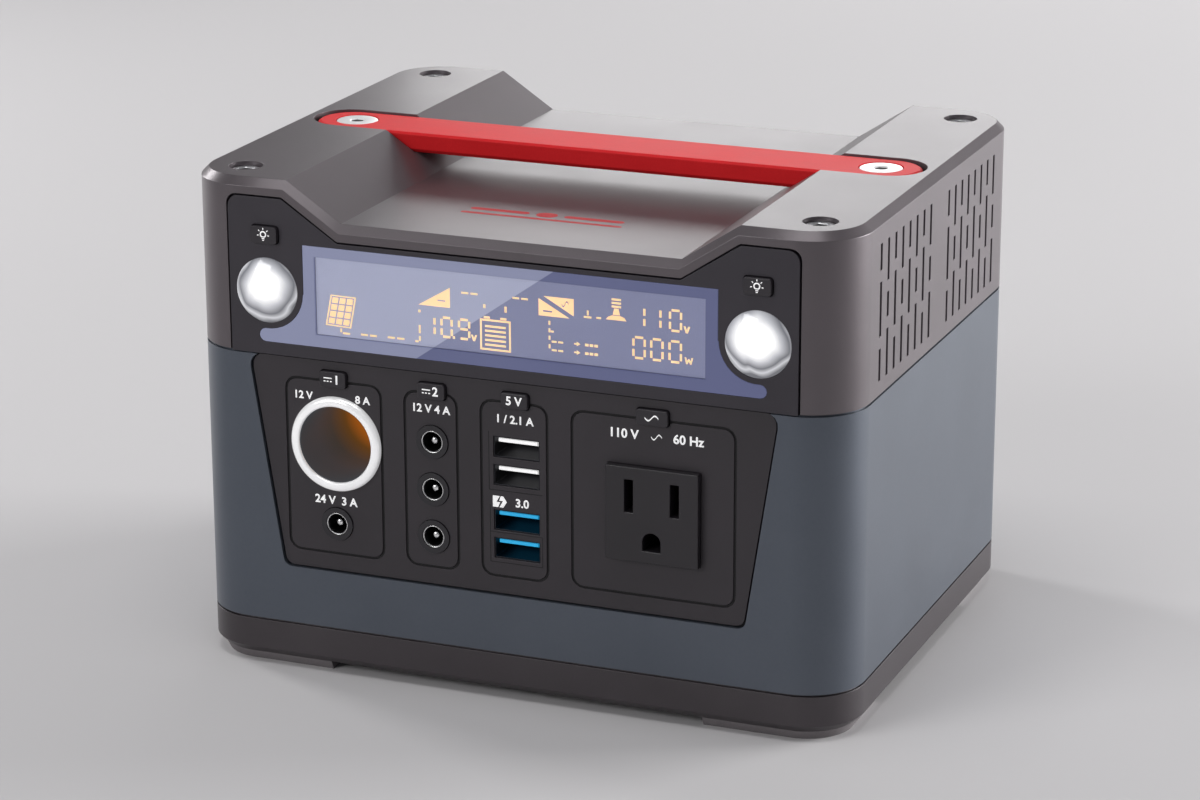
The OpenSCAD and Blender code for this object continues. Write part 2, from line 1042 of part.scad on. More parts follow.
module ac_contacts() {
    leaf = 0.4;
    leaf_front = -62;
    leaf_back = ac_back - 2.1;
    color("goldenrod") {
        for (sx = [-1, 1], side = [-1, 1])
            translate([ac_x + sx * blade_pitch / 2 + side * (blade_w / 2 - leaf / 2) - leaf / 2, 0, 0])
                box([0, leaf_front, blade_z - 3], [leaf, leaf_back, blade_z + 3]);
        for (side = [-1, 1])
            translate([ac_x + side * 2.2 - leaf / 2, 0, 0])
                box([0, leaf_front, ground_z - 1.5], [leaf, leaf_back, ground_z + 1]);
    }
}

module output_board() {
    color("seagreen")
    difference() {
        box([-64, output_board_y, 36], [64, output_board_y + board_t, 88]);
        along_y(lighter_x, lighter_z, lighter_d / 2 + 2, output_board_y - 1, 0);
        box(
            [ac_x - ac_size / 2 - 1, output_board_y - 1, ac_z - ac_size / 2 - 1],
            [ac_x + ac_size / 2 + 1, 0, ac_z + ac_size / 2 + 1]
        );
    }
}

module charge_jack_body() {
    flange = 0.8;
    body = 5;
    color("#222225")
    difference() {
        union() {
            along_y(0, charge_z, charge_r, inner_y, back_y + 0.1);
            along_y(0, charge_z, charge_r + 1, inner_y - flange, inner_y);
            box(
                [-body, back_y - charge_depth - 1.5, charge_z - body],
                [body, inner_y - flange + eps, charge_z + body]
            );
        }
        along_y(0, charge_z, 4, back_y - charge_depth, back_y + 1);
    }
}

module charge_jack_contacts() {
    color("silver") {
        difference() {
            along_y(0, charge_z, 4, back_y - charge_depth, back_y - 0.2);
            along_y(0, charge_z, 3.7, back_y - charge_depth + 0.5, back_y + 1);
        }
        along_y(0, charge_z, 0.5, back_y - charge_depth + 0.5 - eps, back_y - 1.5);
    }
}

// ---------------------------------------------------------------- battery pack

module battery_cells() {
    color("steelblue")
    for (c = cells)
        along_y(c.x, c.y, cell_d / 2, cell_y, cell_y + cell_l);
}

// Holder over one end of the cells, from y0; the cells sit in it from lip_y
module cell_holder(y0, lip_y) {
    window_r = 6.5;
    difference() {
        box([-pack_w / 2, y0, pack_low], [pack_w / 2, y0 + holder_t, pack_low + pack_h]);
        for (c = cells) {
            along_y(c.x, c.y, cell_d / 2 + 0.02, lip_y, lip_y + holder_t - holder_lip);
            along_y(c.x, c.y, window_r, y0 - 1, y0 + holder_t + 1);
        }
    }
}

module cell_holder_front() {
    color("#202226")
    cell_holder(holder_front_y, cell_y);
}

module cell_holder_rear() {
    color("#202226")
    cell_holder(holder_rear_y, holder_rear_y);
}

// Nickel strips that join the cells across both ends of the pack
module busbars() {
    strip_w = 8;
    strip_t = 0.3;
    reach = (cell_columns - 1) * cell_pitch / 2 + 5;
    color("lightgray")
    for (y = [holder_front_y - strip_t, holder_rear_y + holder_t], j = [0 : cell_rows - 1])
        translate([0, 0, pack_low + 0.4 + (j + 0.5) * cell_pitch])
            box([-reach, y, -strip_w / 2], [reach, y + strip_t, strip_w / 2]);
}

// Protection board in front of the cells: six power switches in a row and four standoffs
module bms_board() {
    switches = 6;
    switch_pitch = 12;
    switch_w = 8;
    color("seagreen")
    union() {
        box([-60, bms_y, 14], [46, bms_y + board_t, 58]);
        for (i = [0 : switches - 1])
            translate([-52 + i * switch_pitch, 0, 0])
                box([0, bms_y - 3, 40], [switch_w, bms_y + eps, 50]);
        for (z = [27.2, 46], x = [-56, 18])
            along_y(x, z, 2.5, bms_y + board_t - eps, holder_front_y);
    }
}

// Shelf over the cells with four standoffs, notched at its front edge for the leads
module divider_plate() {
    shelf_top = divider_z + divider_t;
    notch = 3;
    color("#2b2d30")
    difference() {
        union() {
            box([-pack_w / 2 + 1, -28, divider_z], [pack_w / 2 - 1, 69, shelf_top]);
            for (p = inverter_screws)
                translate([p.x, p.y, shelf_top - eps])
                    cylinder(h = standoff_h + eps, r = 3.5);
        }
        box(
            [lead_x[0] - notch, lead_y - notch, divider_z - 1],
            [lead_x[1] + notch, lead_y + notch, inverter_z]
        );
        for (p = inverter_screws)
            translate([p.x, p.y, shelf_top])
                cylinder(h = standoff_h + 1, r = screw_r);
    }
}

module inverter_board() {
    color("seagreen")
    difference() {
        box([-72, 0.5, inverter_z], [72, 68, inverter_top]);
        for (p = inverter_screws)
            translate([p.x, p.y, inverter_z - 1])
                cylinder(h = board_t + 2, r = screw_r + 0.1);
    }
}

module board_screws() {
    grip = 6;
    color("silver")
    for (p = inverter_screws)
        translate([p.x, p.y, inverter_top]) {
            cylinder(h = 2, r = 2.8);
            translate([0, 0, -grip])
                cylinder(h = grip + eps, r = screw_r);
        }
}

module transformer_core() {
    size = [42, 34, 34];
    window = [30, 36, 20];
    yoke = 7;
    color("#3a3a3e")
    translate([transformer.x, transformer.y, inverter_top])
        difference() {
            translate([-size.x / 2, -size.y / 2, 0])
                cube(size);
            translate([-window.x / 2, -window.y / 2, yoke])
                cube(window);
        }
}

module transformer_winding() {
    size = [29.6, 38, 19.6];
    slot = [8, 40, 5];
    color("#c9a23c")
    translate([transformer.x, transformer.y, inverter_top + 7.2])
        difference() {
            translate([-size.x / 2, -size.y / 2, 0])
                cube(size);
            translate([-slot.x / 2, -slot.y / 2, -1])
                cube(slot);
        }
}

module capacitors() {
    count = 4;
    pitch = 19;
    color("#1c2a52")
    for (i = [0 : count - 1])
        translate([-6 + i * pitch, 16, inverter_top])
            cylinder(h = 30, r = 9);
}

module filter_coil() {
    coil_h = 14;
    color("#b5651d")
    translate([0, 45, inverter_top])
        difference() {
            cylinder(h = coil_h, r = 14);
            translate([0, 0, -1])
                cylinder(h = coil_h + 2, r = 6);
        }
}

module heatsinks() {
    plate = [46, 3, 34];
    fin = [1.5, 10, 34];
    fins = 6;
    fin_pitch = 8.4;
    color("silver")
    for (y = [30, 52])
        translate([15, y, inverter_top]) {
            cube(plate);
            for (i = [0 : fins - 1])
                translate([2 + i * fin_pitch, plate.y - eps, 0])
                    cube(fin);
        }
}

// ---------------------------------------------------------------- fans

module fan_frames() {
    strut = 2.4;
    color("#1c1c1e")
    for (side = [-1, 1])
        translate([fan_x, side * fan_y, fan_z])
            rotate([0, 90, 0])
                difference() {
                    union() {
                        difference() {
                            translate([-fan_size / 2, -fan_size / 2, 0])
                                cube([fan_size, fan_size, fan_depth]);
                            translate([0, 0, -1])
                                cylinder(h = fan_depth + 2, r = fan_bore_r);
                        }
                        cylinder(h = 2, r = fan_hub_r);
                        for (a = [45, 135])
                            rotate(a)
                                translate([-fan_bore_r - 1, -strut / 2, 0])
                                    cube([2 * fan_bore_r + 2, strut, 1.8]);
                    }
                    translate([0, 0, -1])
                        cylinder(h = 5, r = bearing_r);
                    for (sx = [-1, 1], sy = [-1, 1])
                        translate([sx * 16, sy * 16, -1])
                            cylinder(h = fan_depth + 2, r = 1.8);
                }
}

// Seven-bladed rotor with its hub cup and shaft
module fan_rotor(side) {
    blades = 7;
    pitch_angle = 32;
    color("#26262a")
    translate([fan_x, side * fan_y, fan_z])
        rotate([0, 90, 0]) {
            translate([0, 0, 2.6])
                cylinder(h = 6.4, r = fan_hub_r);
            translate([0, 0, 0.3])
                cylinder(h = 3, r = fan_shaft_r);
            for (i = [0 : blades - 1])
                rotate(i * 360 / blades)
                    translate([fan_hub_r - 1, 0, 5.8])
                        rotate([pitch_angle, 0, 0])
                            translate([0, -4.5, -0.5])
                                cube([rotor_r - fan_hub_r + 0.4, 9, 1]);
        }
}

module fan_rotor_front() {
    fan_rotor(-1);
}

module fan_rotor_rear() {
    fan_rotor(1);
}

// Two leads from the pack's board up to the inverter board
module battery_leads() {
    bend_r = 6;
    low_z = 44;
    bend_z = inverter_top + lead_r - bend_r;
    color("firebrick")
    for (x = lead_x)
        translate([x, lead_y, 0]) {
            translate([0, 0, low_z])
                cylinder(h = bend_z - low_z, r = lead_r);
            translate([0, bend_r, bend_z - eps])
                rotate([90, 0, -90])
                    rotate_extrude(angle = 90)
                        translate([bend_r, 0])
                            circle(lead_r);
            along_y(0, bend_z + bend_r, lead_r, bend_r - eps, bend_r + 5);
        }
}

// ---------------------------------------------------------------- nodes

bottom_tray();
foot_pads();
middle_casing();
upper_casing();
casing_screws();
casing_inserts();
handle();
handle_screws();
handle_inserts();
front_fascia();
display_window();
lcd_module();
display_board();
lamp_lenses();
lamp_reflectors();
lamp_leds();
lamp_button_left();
lamp_button_right();
output_panel();
dc1_button();
dc2_button();
usb_button();
ac_button();
tact_switches();
lighter_ring();
lighter_barrel();
lighter_insulator();
lighter_contact();
lighter_spring();
jack_bodies();
jack_contacts();
usb_shells();
usb_tongues_white();
usb_tongues_blue();
ac_receptacle();
ac_contacts();
output_board();
charge_jack_body();
charge_jack_contacts();
battery_cells();
cell_holder_front();
cell_holder_rear();
busbars();
bms_board();
divider_plate();
inverter_board();
board_screws();
transformer_core();
transformer_winding();
capacitors();
filter_coil();
heatsinks();
fan_frames();
fan_rotor_front();
fan_rotor_rear();
battery_leads();
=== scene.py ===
import math

import bmesh
import bpy
from mathutils import Matrix, Vector


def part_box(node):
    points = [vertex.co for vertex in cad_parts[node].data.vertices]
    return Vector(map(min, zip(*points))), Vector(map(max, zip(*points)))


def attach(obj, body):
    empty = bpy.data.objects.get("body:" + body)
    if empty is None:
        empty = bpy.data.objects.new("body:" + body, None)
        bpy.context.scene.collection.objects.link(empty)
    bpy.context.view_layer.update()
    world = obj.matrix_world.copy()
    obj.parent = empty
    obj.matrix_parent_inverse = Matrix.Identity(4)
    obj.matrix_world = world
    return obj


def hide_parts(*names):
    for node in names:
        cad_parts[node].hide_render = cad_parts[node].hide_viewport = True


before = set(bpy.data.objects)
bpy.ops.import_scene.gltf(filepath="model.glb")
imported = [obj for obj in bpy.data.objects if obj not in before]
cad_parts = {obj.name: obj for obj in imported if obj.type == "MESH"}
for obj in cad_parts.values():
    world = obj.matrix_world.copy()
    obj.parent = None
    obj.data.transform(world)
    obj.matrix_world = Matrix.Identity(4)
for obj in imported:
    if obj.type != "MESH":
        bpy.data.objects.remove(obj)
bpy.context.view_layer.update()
MM = 0.001

# ------------------------------------------------------------------ studio
# A pale paper sweep under an overhead soft box, with a low one behind that draws the tops, two
# at the back right that draw the right side, a thin rim on the left and a fill in front.


def linear(colour):
    """A hex colour in sRGB as linear red, green, blue and alpha"""
    parts = [int(colour[i:i + 2], 16) / 255 for i in (1, 3, 5)]
    return [p / 12.92 if p <= 0.04045 else ((p + 0.055) / 1.055) ** 2.4 for p in parts] + [1.0]


def add_node(tree, kind, settings=None, values=None, links=None):
    """One node with its settings, its constant inputs and its links"""
    node = tree.nodes.new(kind)
    for key, value in (settings or {}).items():
        setattr(node, key, value)
    for key, value in (values or {}).items():
        node.inputs[key].default_value = value
    for key, socket in (links or {}).items():
        tree.links.new(socket, node.inputs[key])
    return node


def new_material(name):
    """An empty material, its tree and the object coordinates in it"""
    material = bpy.data.materials.new(name)
    material.use_nodes = True
    material.node_tree.nodes.clear()
    tree = material.node_tree
    return material, tree, add_node(tree, "ShaderNodeTexCoord").outputs["Object"]


def maths(tree, operation, *given):
    """The outcome of an operation on sockets and numbers"""
    node = add_node(tree, "ShaderNodeMath", {"operation": operation})
    for i, value in enumerate(given):
        if isinstance(value, (int, float)):
            node.inputs[i].default_value = value
        else:
            tree.links.new(value, node.inputs[i])
    return node.outputs[0]


def noise(tree, place, size, **values):
    """Cloudy noise with spots of a size in millimetres"""
    values["Scale"] = 1 / (size * MM)
    return add_node(tree, "ShaderNodeTexNoise", values=values, links={"Vector": place}).outputs["Fac"]


def bump(tree, height, strength, relief):
    """The surface normals of a height map, its relief in millimetres"""
    values = {"Strength": strength, "Distance": relief * MM}
    return add_node(tree, "ShaderNodeBump", values=values, links={"Height": height}).outputs["Normal"]


def surfaced(material, values, links):
    """A material with a principled surface of these constants and links"""
    tree = material.node_tree
    shader = add_node(tree, "ShaderNodeBsdfPrincipled", values=values, links=links)
    add_node(tree, "ShaderNodeOutputMaterial", links={"Surface": shader.outputs[0]})
    return material


def backdrop_paper():
    """Matt backdrop paper with a faint fibre, made coarse enough to show"""
    material, tree, place = new_material("matt_backdrop_paper")
    fibre = noise(tree, place, 2, Detail=2.0)
    return surfaced(
        material, {"Base Color": linear("#cfcdce"), "Roughness": 0.85, "Specular IOR Level": 0.2},
        {"Normal": bump(tree, fibre, 0.1, 0.05)},
    )


def backdrop():
    """Floor and rear wall as one sheet with a wide round corner"""
    half_w, front, back, height, bend = 4.0, -3.5, 2.2, 2.5, 0.8
    bend_steps = 12
    profile = [(front, 0.0)]
    for i in range(bend_steps + 1):
        angle = math.radians(90 * i / bend_steps)
        profile.append((back - bend + bend * math.sin(angle), bend - bend * math.cos(angle)))
    profile.append((back, height))
    corners = [(x, y, z) for y, z in profile for x in (-half_w, half_w)]
    faces = [(2 * i, 2 * i + 1, 2 * i + 3, 2 * i + 2) for i in range(len(profile) - 1)]
    mesh = bpy.data.meshes.new("backdrop")
    mesh.from_pydata(corners, [], faces)
    mesh.materials.append(backdrop_paper())
    for face in mesh.polygons:
        face.use_smooth = True
    sheet = bpy.data.objects.new("backdrop", mesh)
    bpy.context.scene.collection.objects.link(sheet)


def soft_box(name, place, aim, width, height, power):
    """A rectangular area light that faces a point"""
    lamp = bpy.data.lights.new(name, "AREA")
    lamp.shape = "RECTANGLE"
    lamp.size = width
    lamp.size_y = height
    lamp.energy = power
    holder = bpy.data.objects.new(name, lamp)
    holder.location = place
    holder.rotation_euler = (Vector(aim) - Vector(place)).to_track_quat("-Z", "Y").to_euler()
    holder.visible_camera = False
    bpy.context.scene.collection.objects.link(holder)


backdrop()
soft_box("top_box", (0.0, -0.25, 1.3), (0.0, 0.0, 0.12), 0.8, 0.6, 5.0)
soft_box("back_low_box", (-0.22, 1.25, 0.42), (0.03, 0.0, 0.13), 0.8, 0.34, 2.5)
soft_box("back_right_box", (1.2, 0.85, 0.32), (0.09, 0.0, 0.08), 0.8, 0.6, 29.0)
soft_box("right_box", (1.45, 0.4, 0.35), (0.09, 0.0, 0.08), 0.6, 0.6, 1.5)
soft_box("left_rim", (-1.15, 0.35, 0.4), (-0.09, 0.0, 0.08), 0.25, 0.8, 7.0)
soft_box("front_fill", (-0.9, -1.4, 0.8), (0.0, 0.0, 0.08), 0.9, 0.7, 10.0)

world = bpy.data.worlds.new("studio")
world.use_nodes = True
sky = world.node_tree.nodes["Background"]
sky.inputs["Color"].default_value = linear("#e4e5ea")
sky.inputs["Strength"].default_value = 0.22
bpy.context.scene.world = world
bpy.context.scene.view_settings.view_transform = "Standard"

camera_place = Vector((0.3651, -0.9088, 0.3713))
camera_aim = Vector((-0.0027, -0.0028, 0.0630))
camera_roll = -0.19
camera_data = bpy.data.cameras.new("camera")
camera_data.lens = 109.9
camera_data.sensor_width = 36.0
camera = bpy.data.objects.new("camera", camera_data)
camera.location = camera_place
camera_turn = (camera_aim - camera_place).to_track_quat("-Z", "Y").to_matrix()
camera.rotation_euler = (camera_turn @ Matrix.Rotation(math.radians(camera_roll), 3, "Z")).to_euler()
bpy.context.scene.collection.objects.link(camera)
bpy.context.scene.camera = camera

# ------------------------------------------------------------------ bottom tray and foot pads
# Injection-moulded ABS tray in a satin gunmetal paint, pulled up by the casing's long screws.
# The four foot pads are moulded rubber, glued into shallow recesses in its underside.


def ramp(tree, share, stops):
    """A colour that runs through stops, each a position and a hex colour"""
    node = add_node(tree, "ShaderNodeValToRGB", links={"Fac": share})
    elements = node.color_ramp.elements
    for element, (position, colour) in zip(elements, (stops[0], stops[-1])):
        element.position = position
        element.color = linear(colour)
    for position, colour in stops[1:-1]:
        elements.new(position).color = linear(colour)
    return node.outputs["Color"]


def gloss(tree, share, low, high):
    """A roughness that follows a noise between two values"""
    values = {"From Min": 0.3, "From Max": 0.7, "To Min": low, "To Max": high}
    return add_node(tree, "ShaderNodeMapRange", values=values, links={"Value": share}).outputs["Result"]


def skin(
    name, light, dark, roughness, metallic=0.0, grain=0.4, relief=0.02, coat=0.0, glow=0.0, shine=0.5,
):
    """A moulded or painted skin: two close shades in soft patches under a fine grain.
    grain and relief are the grain's size and its height in millimetres."""
    material, tree, place = new_material(name)
    patch_size = 25.0
    patches = noise(tree, place, patch_size, Detail=3.0, Roughness=0.55)
    grains = noise(tree, place, grain, Detail=2.0, Roughness=0.6)
    shade = ramp(tree, maths(tree, "MULTIPLY_ADD", grains, 0.5, patches), [(0.45, dark), (1.0, light)])
    return surfaced(
        material,
        {
            "Metallic": metallic, "Specular IOR Level": shine, "Coat Weight": coat, "Coat Roughness": 0.15,
            "Emission Strength": glow,
        },
        {
            "Base Color": shade, "Emission Color": shade,
            "Roughness": gloss(tree, patches, roughness - 0.02, roughness + 0.02),
            "Normal": bump(tree, grains, 0.5, relief),
        },
    )


def put(mesh, name, body, material=None, replaces=(), bevel=0.0, segments=3, angle=32):
    """Makes a mesh a finished piece of the object that rides on a body"""
    if material:
        mesh.materials.clear()
        mesh.materials.append(material)
    for face in mesh.polygons:
        face.use_smooth = True
    piece = bpy.data.objects.new(name, mesh)
    bpy.context.scene.collection.objects.link(piece)
    edge = piece.modifiers.new("rounded_edges", "BEVEL")
    edge.width = max(bevel, 0.02) * MM
    edge.segments = segments if bevel else 1
    edge.limit_method = "ANGLE"
    edge.angle_limit = math.radians(angle)
    level = piece.modifiers.new("even_normals", "WEIGHTED_NORMAL")
    level.weight = 80
    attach(piece, body)
    if replaces:
        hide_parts(*replaces)
    return piece


def reworked(mesh, step):
    """A mesh after a step on its editable form"""
    shell = bmesh.new()
    shell.from_mesh(mesh)
    step(shell)
    shell.to_mesh(mesh)
    shell.free()
    return mesh


def merged_copy(node):
    """A CAD node's mesh as a copy with its points joined and its flat faces whole"""
    def merge(shell):
        bmesh.ops.remove_doubles(shell, verts=shell.verts, dist=0.002 * MM)
        flat_angle = math.radians(0.3)
        bmesh.ops.dissolve_limit(shell, angle_limit=flat_angle, verts=shell.verts, edges=shell.edges)

    return reworked(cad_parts[node].data.copy(), merge)


def rounded_copy(node, material, bevel, body="casing", segments=3, angle=32):
    """A piece in the exact shape of a CAD node, with its sharp edges rounded"""
    return put(merged_copy(node), node + "_piece", body, material, (node,), bevel, segments, angle)


tray_paint = skin(
    "gunmetal_painted_abs_tray", "#4d484b", "#443f42", 0.42, metallic=0.5, grain=0.3, relief=0.015, coat=0.1,
)
foot_rubber = skin("moulded_foot_rubber", "#7b7678", "#6a6567", 0.75, grain=0.7, relief=0.06)
rounded_copy("bottom_tray", tray_paint, 0.4)
rounded_copy("foot_pads", foot_rubber, 0.5)

# ------------------------------------------------------------------ middle casing
# Bent and welded aluminium sleeve in a slate powder coat, its front milled out for the output
# panel. The coat is satin, with a soft orange-peel surface.

slate_coat = skin(
    "slate_powder_coat", "#5a606a", "#555b65", 0.38, metallic=0.45, grain=0.9, relief=0.02, coat=0.1,
)
rounded_copy("middle_casing", slate_coat, 0.3)

# ------------------------------------------------------------------ battery pack
# Twenty-four steel lithium cells in shrink sleeves, pressed into two moulded holders and joined
# by spot-welded nickel strips. The protection board stands in front of them.


def solid(name, corners, faces):
    """A closed mesh from its corners and faces, turned outwards"""
    mesh = bpy.data.meshes.new(name)
    mesh.from_pydata(corners, [], faces)
    return reworked(mesh, lambda shell: bmesh.ops.recalc_face_normals(shell, faces=shell.faces))


def turned(name, profile, segments=48, ring=False):
    """A turned shape about Z from (radius, height) points in millimetres. A third word on a point
    makes that ring a hexagon or a knurl, and ring=True joins the last point to the first."""
    corners = []
    rows = []
    for point in profile:
        radius, height = point[:2]
        form = point[2] if len(point) > 2 else "round"
        if radius == 0:
            rows.append([len(corners)] * segments)
            corners.append((0, 0, height * MM))
            continue
        rows.append(list(range(len(corners), len(corners) + segments)))
        for i in range(segments):
            angle = 2 * math.pi * i / segments
            reach = radius
            if form == "hexagon":
                reach *= math.cos(math.pi / 6) / math.cos(angle % (math.pi / 3) - math.pi / 6)
            if form == "knurl":
                reach *= 1 - 0.03 * (i % 2)
            corners.append((reach * math.cos(angle) * MM, reach * math.sin(angle) * MM, height * MM))
    faces = []
    pairs = list(zip(rows, rows[1:])) + ([(rows[-1], rows[0])] if ring else [])
    for low, high in pairs:
        for i in range(segments):
            j = (i + 1) % segments
            face = list(dict.fromkeys((low[i], low[j], high[j], high[i])))
            if len(face) > 2:
                faces.append(face)
    return solid(name, corners, faces)


def new_tree(name, inputs):
    """A geometry tree with a shape, a finish and named inputs"""
    tree = bpy.data.node_groups.new(name, "GeometryNodeTree")
    tree.interface.new_socket("Shape", in_out="INPUT", socket_type="NodeSocketGeometry")
    tree.interface.new_socket("Finish", in_out="INPUT", socket_type="NodeSocketMaterial")
    for label, kind in inputs.items():
        tree.interface.new_socket(label, in_out="INPUT", socket_type="NodeSocket" + kind)
    tree.interface.new_socket("Shape", in_out="OUTPUT", socket_type="NodeSocketGeometry")
    return tree, add_node(tree, "NodeGroupInput").outputs


def end_tree(tree, given, instances):
    """Realises the instances, gives them the finish and sends them out"""
    whole = add_node(tree, "GeometryNodeRealizeInstances", links={"Geometry": instances})
    coloured = add_node(
        tree, "GeometryNodeSetMaterial",
        links={"Geometry": whole.outputs["Geometry"], "Material": given["Finish"]},
    )
    add_node(tree, "NodeGroupOutput", links={"Shape": coloured.outputs["Geometry"]})
    return tree


def rows_tree():
    """Copies of a shape in columns and rows, each with its own step"""
    tree, given = new_tree(
        "columns_and_rows",
        {"Columns": "Int", "Column Step": "Vector", "Rows": "Int", "Row Step": "Vector", "First": "Vector"},
    )
    line = add_node(
        tree, "GeometryNodeMeshLine",
        links={"Count": given["Columns"], "Offset": given["Column Step"], "Start Location": given["First"]},
    )
    row = add_node(
        tree, "GeometryNodeInstanceOnPoints",
        links={"Points": line.outputs["Mesh"], "Instance": given["Shape"]},
    )
    stack = add_node(
        tree, "GeometryNodeMeshLine", links={"Count": given["Rows"], "Offset": given["Row Step"]},
    )
    rows = add_node(
        tree, "GeometryNodeInstanceOnPoints",
        links={"Points": stack.outputs["Mesh"], "Instance": row.outputs["Instances"]},
    )
    return end_tree(tree, given, rows.outputs["Instances"])


def grown(shape, tree, material, **sizes):
    """The plain mesh that a geometry tree makes from a shape and its named sizes"""
    holder = bpy.data.objects.new("holder", shape)
    bpy.context.scene.collection.objects.link(holder)
    modifier = holder.modifiers.new("grown", "NODES")
    modifier.node_group = tree
    sizes = {key.replace("_", " ").title(): value for key, value in sizes.items()}
    sizes["Finish"] = material
    for item in tree.interface.items_tree:
        if item.in_out == "INPUT" and item.name in sizes:
            modifier[item.identifier] = sizes[item.name]
    bpy.context.view_layer.update()
    shown = holder.evaluated_get(bpy.context.evaluated_depsgraph_get())
    mesh = bpy.data.meshes.new_from_object(shown)
    bpy.data.objects.remove(holder)
    return mesh


def millimetres(x, y, z):
    """A place given in millimetres, in metres"""
    return [x * MM, y * MM, z * MM]


def metal(name, light, dark, roughness, stretch=(1.0, 1.0, 1.0), line=0.3):
    """Bare or plated metal with fine drawing or turning marks.
    stretch lengthens the marks along an axis, and line is their width in millimetres."""
    material, tree, place = new_material(name)
    laid = add_node(tree, "ShaderNodeMapping", values={"Scale": stretch}, links={"Vector": place})
    marks = noise(tree, laid.outputs["Vector"], line, Detail=3.0)
    return surfaced(
        material, {"Metallic": 1.0},
        {
            "Base Color": ramp(tree, marks, [(0.3, dark), (0.7, light)]),
            "Roughness": gloss(tree, marks, roughness - 0.04, roughness + 0.06),
            "Normal": bump(tree, marks, 0.4, 0.006),
        },
    )


cell_low, cell_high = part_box("battery_cells")
cell_r = 9.15
cell_pitch = 18.8
cell_columns = 8
cell_rows = 3
cell_front = cell_low.y / MM
cell_back = cell_high.y / MM
first_cell = millimetres(cell_low.x / MM + cell_r, 0, cell_low.z / MM + cell_r)
along_y = Matrix.Rotation(math.radians(-90), 4, "X")
pack_rows = {
    "columns": cell_columns, "column_step": millimetres(cell_pitch, 0, 0),
    "rows": cell_rows, "row_step": millimetres(0, 0, cell_pitch), "first": first_cell,
}
columns_and_rows = rows_tree()

lip_r = cell_r - 1.6
cap_r = 3.0
cap_h = 0.6
can_r = 7.3
sleeve_shape = turned("cell_sleeve", [
    (lip_r, cell_front + 0.1), (cell_r - 0.4, cell_front + 0.1), (cell_r, cell_front + 0.5),
    (cell_r, cell_back - 0.5), (cell_r - 0.4, cell_back - 0.1), (lip_r, cell_back - 0.1),
], 32, ring=True)
can_shape = turned("cell_can", [
    (0, cell_front), (cap_r, cell_front), (cap_r, cell_front + cap_h), (can_r, cell_front + cap_h),
    (can_r, cell_back - cap_h), (can_r - 0.3, cell_back), (0, cell_back),
], 32)
for shape in (sleeve_shape, can_shape):
    shape.transform(along_y)
cell_film = skin("heat_shrunk_pvc_film", "#2f7f86", "#2a757c", 0.3, grain=2.0, relief=0.02, coat=0.3)
cell_steel = metal("nickel_plated_steel_can", "#c9c9c4", "#b1b1ac", 0.25)
sleeves = grown(sleeve_shape, columns_and_rows, cell_film, **pack_rows)
cans = grown(can_shape, columns_and_rows, cell_steel, **pack_rows)
put(sleeves, "cell_sleeves", "casing", replaces=("battery_cells",))
put(cans, "cell_cans", "casing", replaces=("battery_cells",))

holder_abs = skin("moulded_holder_abs", "#28282b", "#212124", 0.55)
strip_nickel = metal("rolled_nickel_strip", "#d2cfc6", "#bdbab2", 0.28, stretch=(0.05, 1.0, 1.0))
rounded_copy("cell_holder_front", holder_abs, 0.2)
rounded_copy("cell_holder_rear", holder_abs, 0.2)
rounded_copy("busbars", strip_nickel, 0.0)


def circuit_board(name, colour):
    """Glass-epoxy board under green solder mask, with a faint weave and copper runs below it"""
    material, tree, place = new_material(name)
    runs = add_node(
        tree, "ShaderNodeTexBrick", {"offset": 0.37},
        {
            "Scale": 1 / (9 * MM), "Mortar Size": 0.03, "Mortar Smooth": 0.2, "Color1": linear(colour),
            "Color2": linear(colour), "Mortar": linear("#3f8a5c"),
        },
        {"Vector": place},
    )
    weave = noise(tree, place, 0.6, Detail=1.0)
    return surfaced(
        material, {"Roughness": 0.3, "Coat Weight": 0.4},
        {"Base Color": runs.outputs["Color"], "Normal": bump(tree, weave, 0.4, 0.02)},
    )


def parts_tree():
    """Small parts soldered in loose columns and rows on a board that faces -Y"""
    tree, given = new_tree(
        "board_parts",
        {
            "Columns": "Int", "Column Step": "Vector", "Rows": "Int", "Row Step": "Vector",
            "First": "Vector", "Smallest": "Vector", "Largest": "Vector", "Share": "Float",
        },
    )
    line = add_node(
        tree, "GeometryNodeMeshLine",
        links={"Count": given["Columns"], "Offset": given["Column Step"], "Start Location": given["First"]},
    )
    stack = add_node(
        tree, "GeometryNodeMeshLine", links={"Count": given["Rows"], "Offset": given["Row Step"]},
    )
    lines = add_node(
        tree, "GeometryNodeInstanceOnPoints",
        links={"Points": stack.outputs["Mesh"], "Instance": line.outputs["Mesh"]},
    )
    places = add_node(tree, "GeometryNodeRealizeInstances", links={"Geometry": lines.outputs["Instances"]})
    size = add_node(
        tree, "FunctionNodeRandomValue", {"data_type": "FLOAT_VECTOR"}, {"Seed": 4},
        {0: given["Smallest"], 1: given["Largest"]},
    )
    kept = add_node(
        tree, "FunctionNodeRandomValue", {"data_type": "BOOLEAN"}, {"Seed": 9},
        {"Probability": given["Share"]},
    )
    parts = add_node(
        tree, "GeometryNodeInstanceOnPoints",
        links={
            "Points": places.outputs["Geometry"], "Instance": given["Shape"],
            "Selection": kept.outputs[3], "Scale": size.outputs[0],
        },
    )
    return end_tree(tree, given, parts.outputs["Instances"])


def unit_block(name):
    """A block of one metre with chamfered edges, for the board parts to scale"""
    def chamfered_cube(shell):
        bmesh.ops.create_cube(shell, size=1.0)
        bmesh.ops.bevel(shell, geom=shell.edges, offset=0.08, segments=1, affect="EDGES")

    return reworked(bpy.data.meshes.new(name), chamfered_cube)


board_parts = parts_tree()
board_mask = circuit_board("green_solder_mask", "#1f6a43")
part_epoxy = skin("black_moulded_epoxy", "#26262a", "#1c1c20", 0.5)


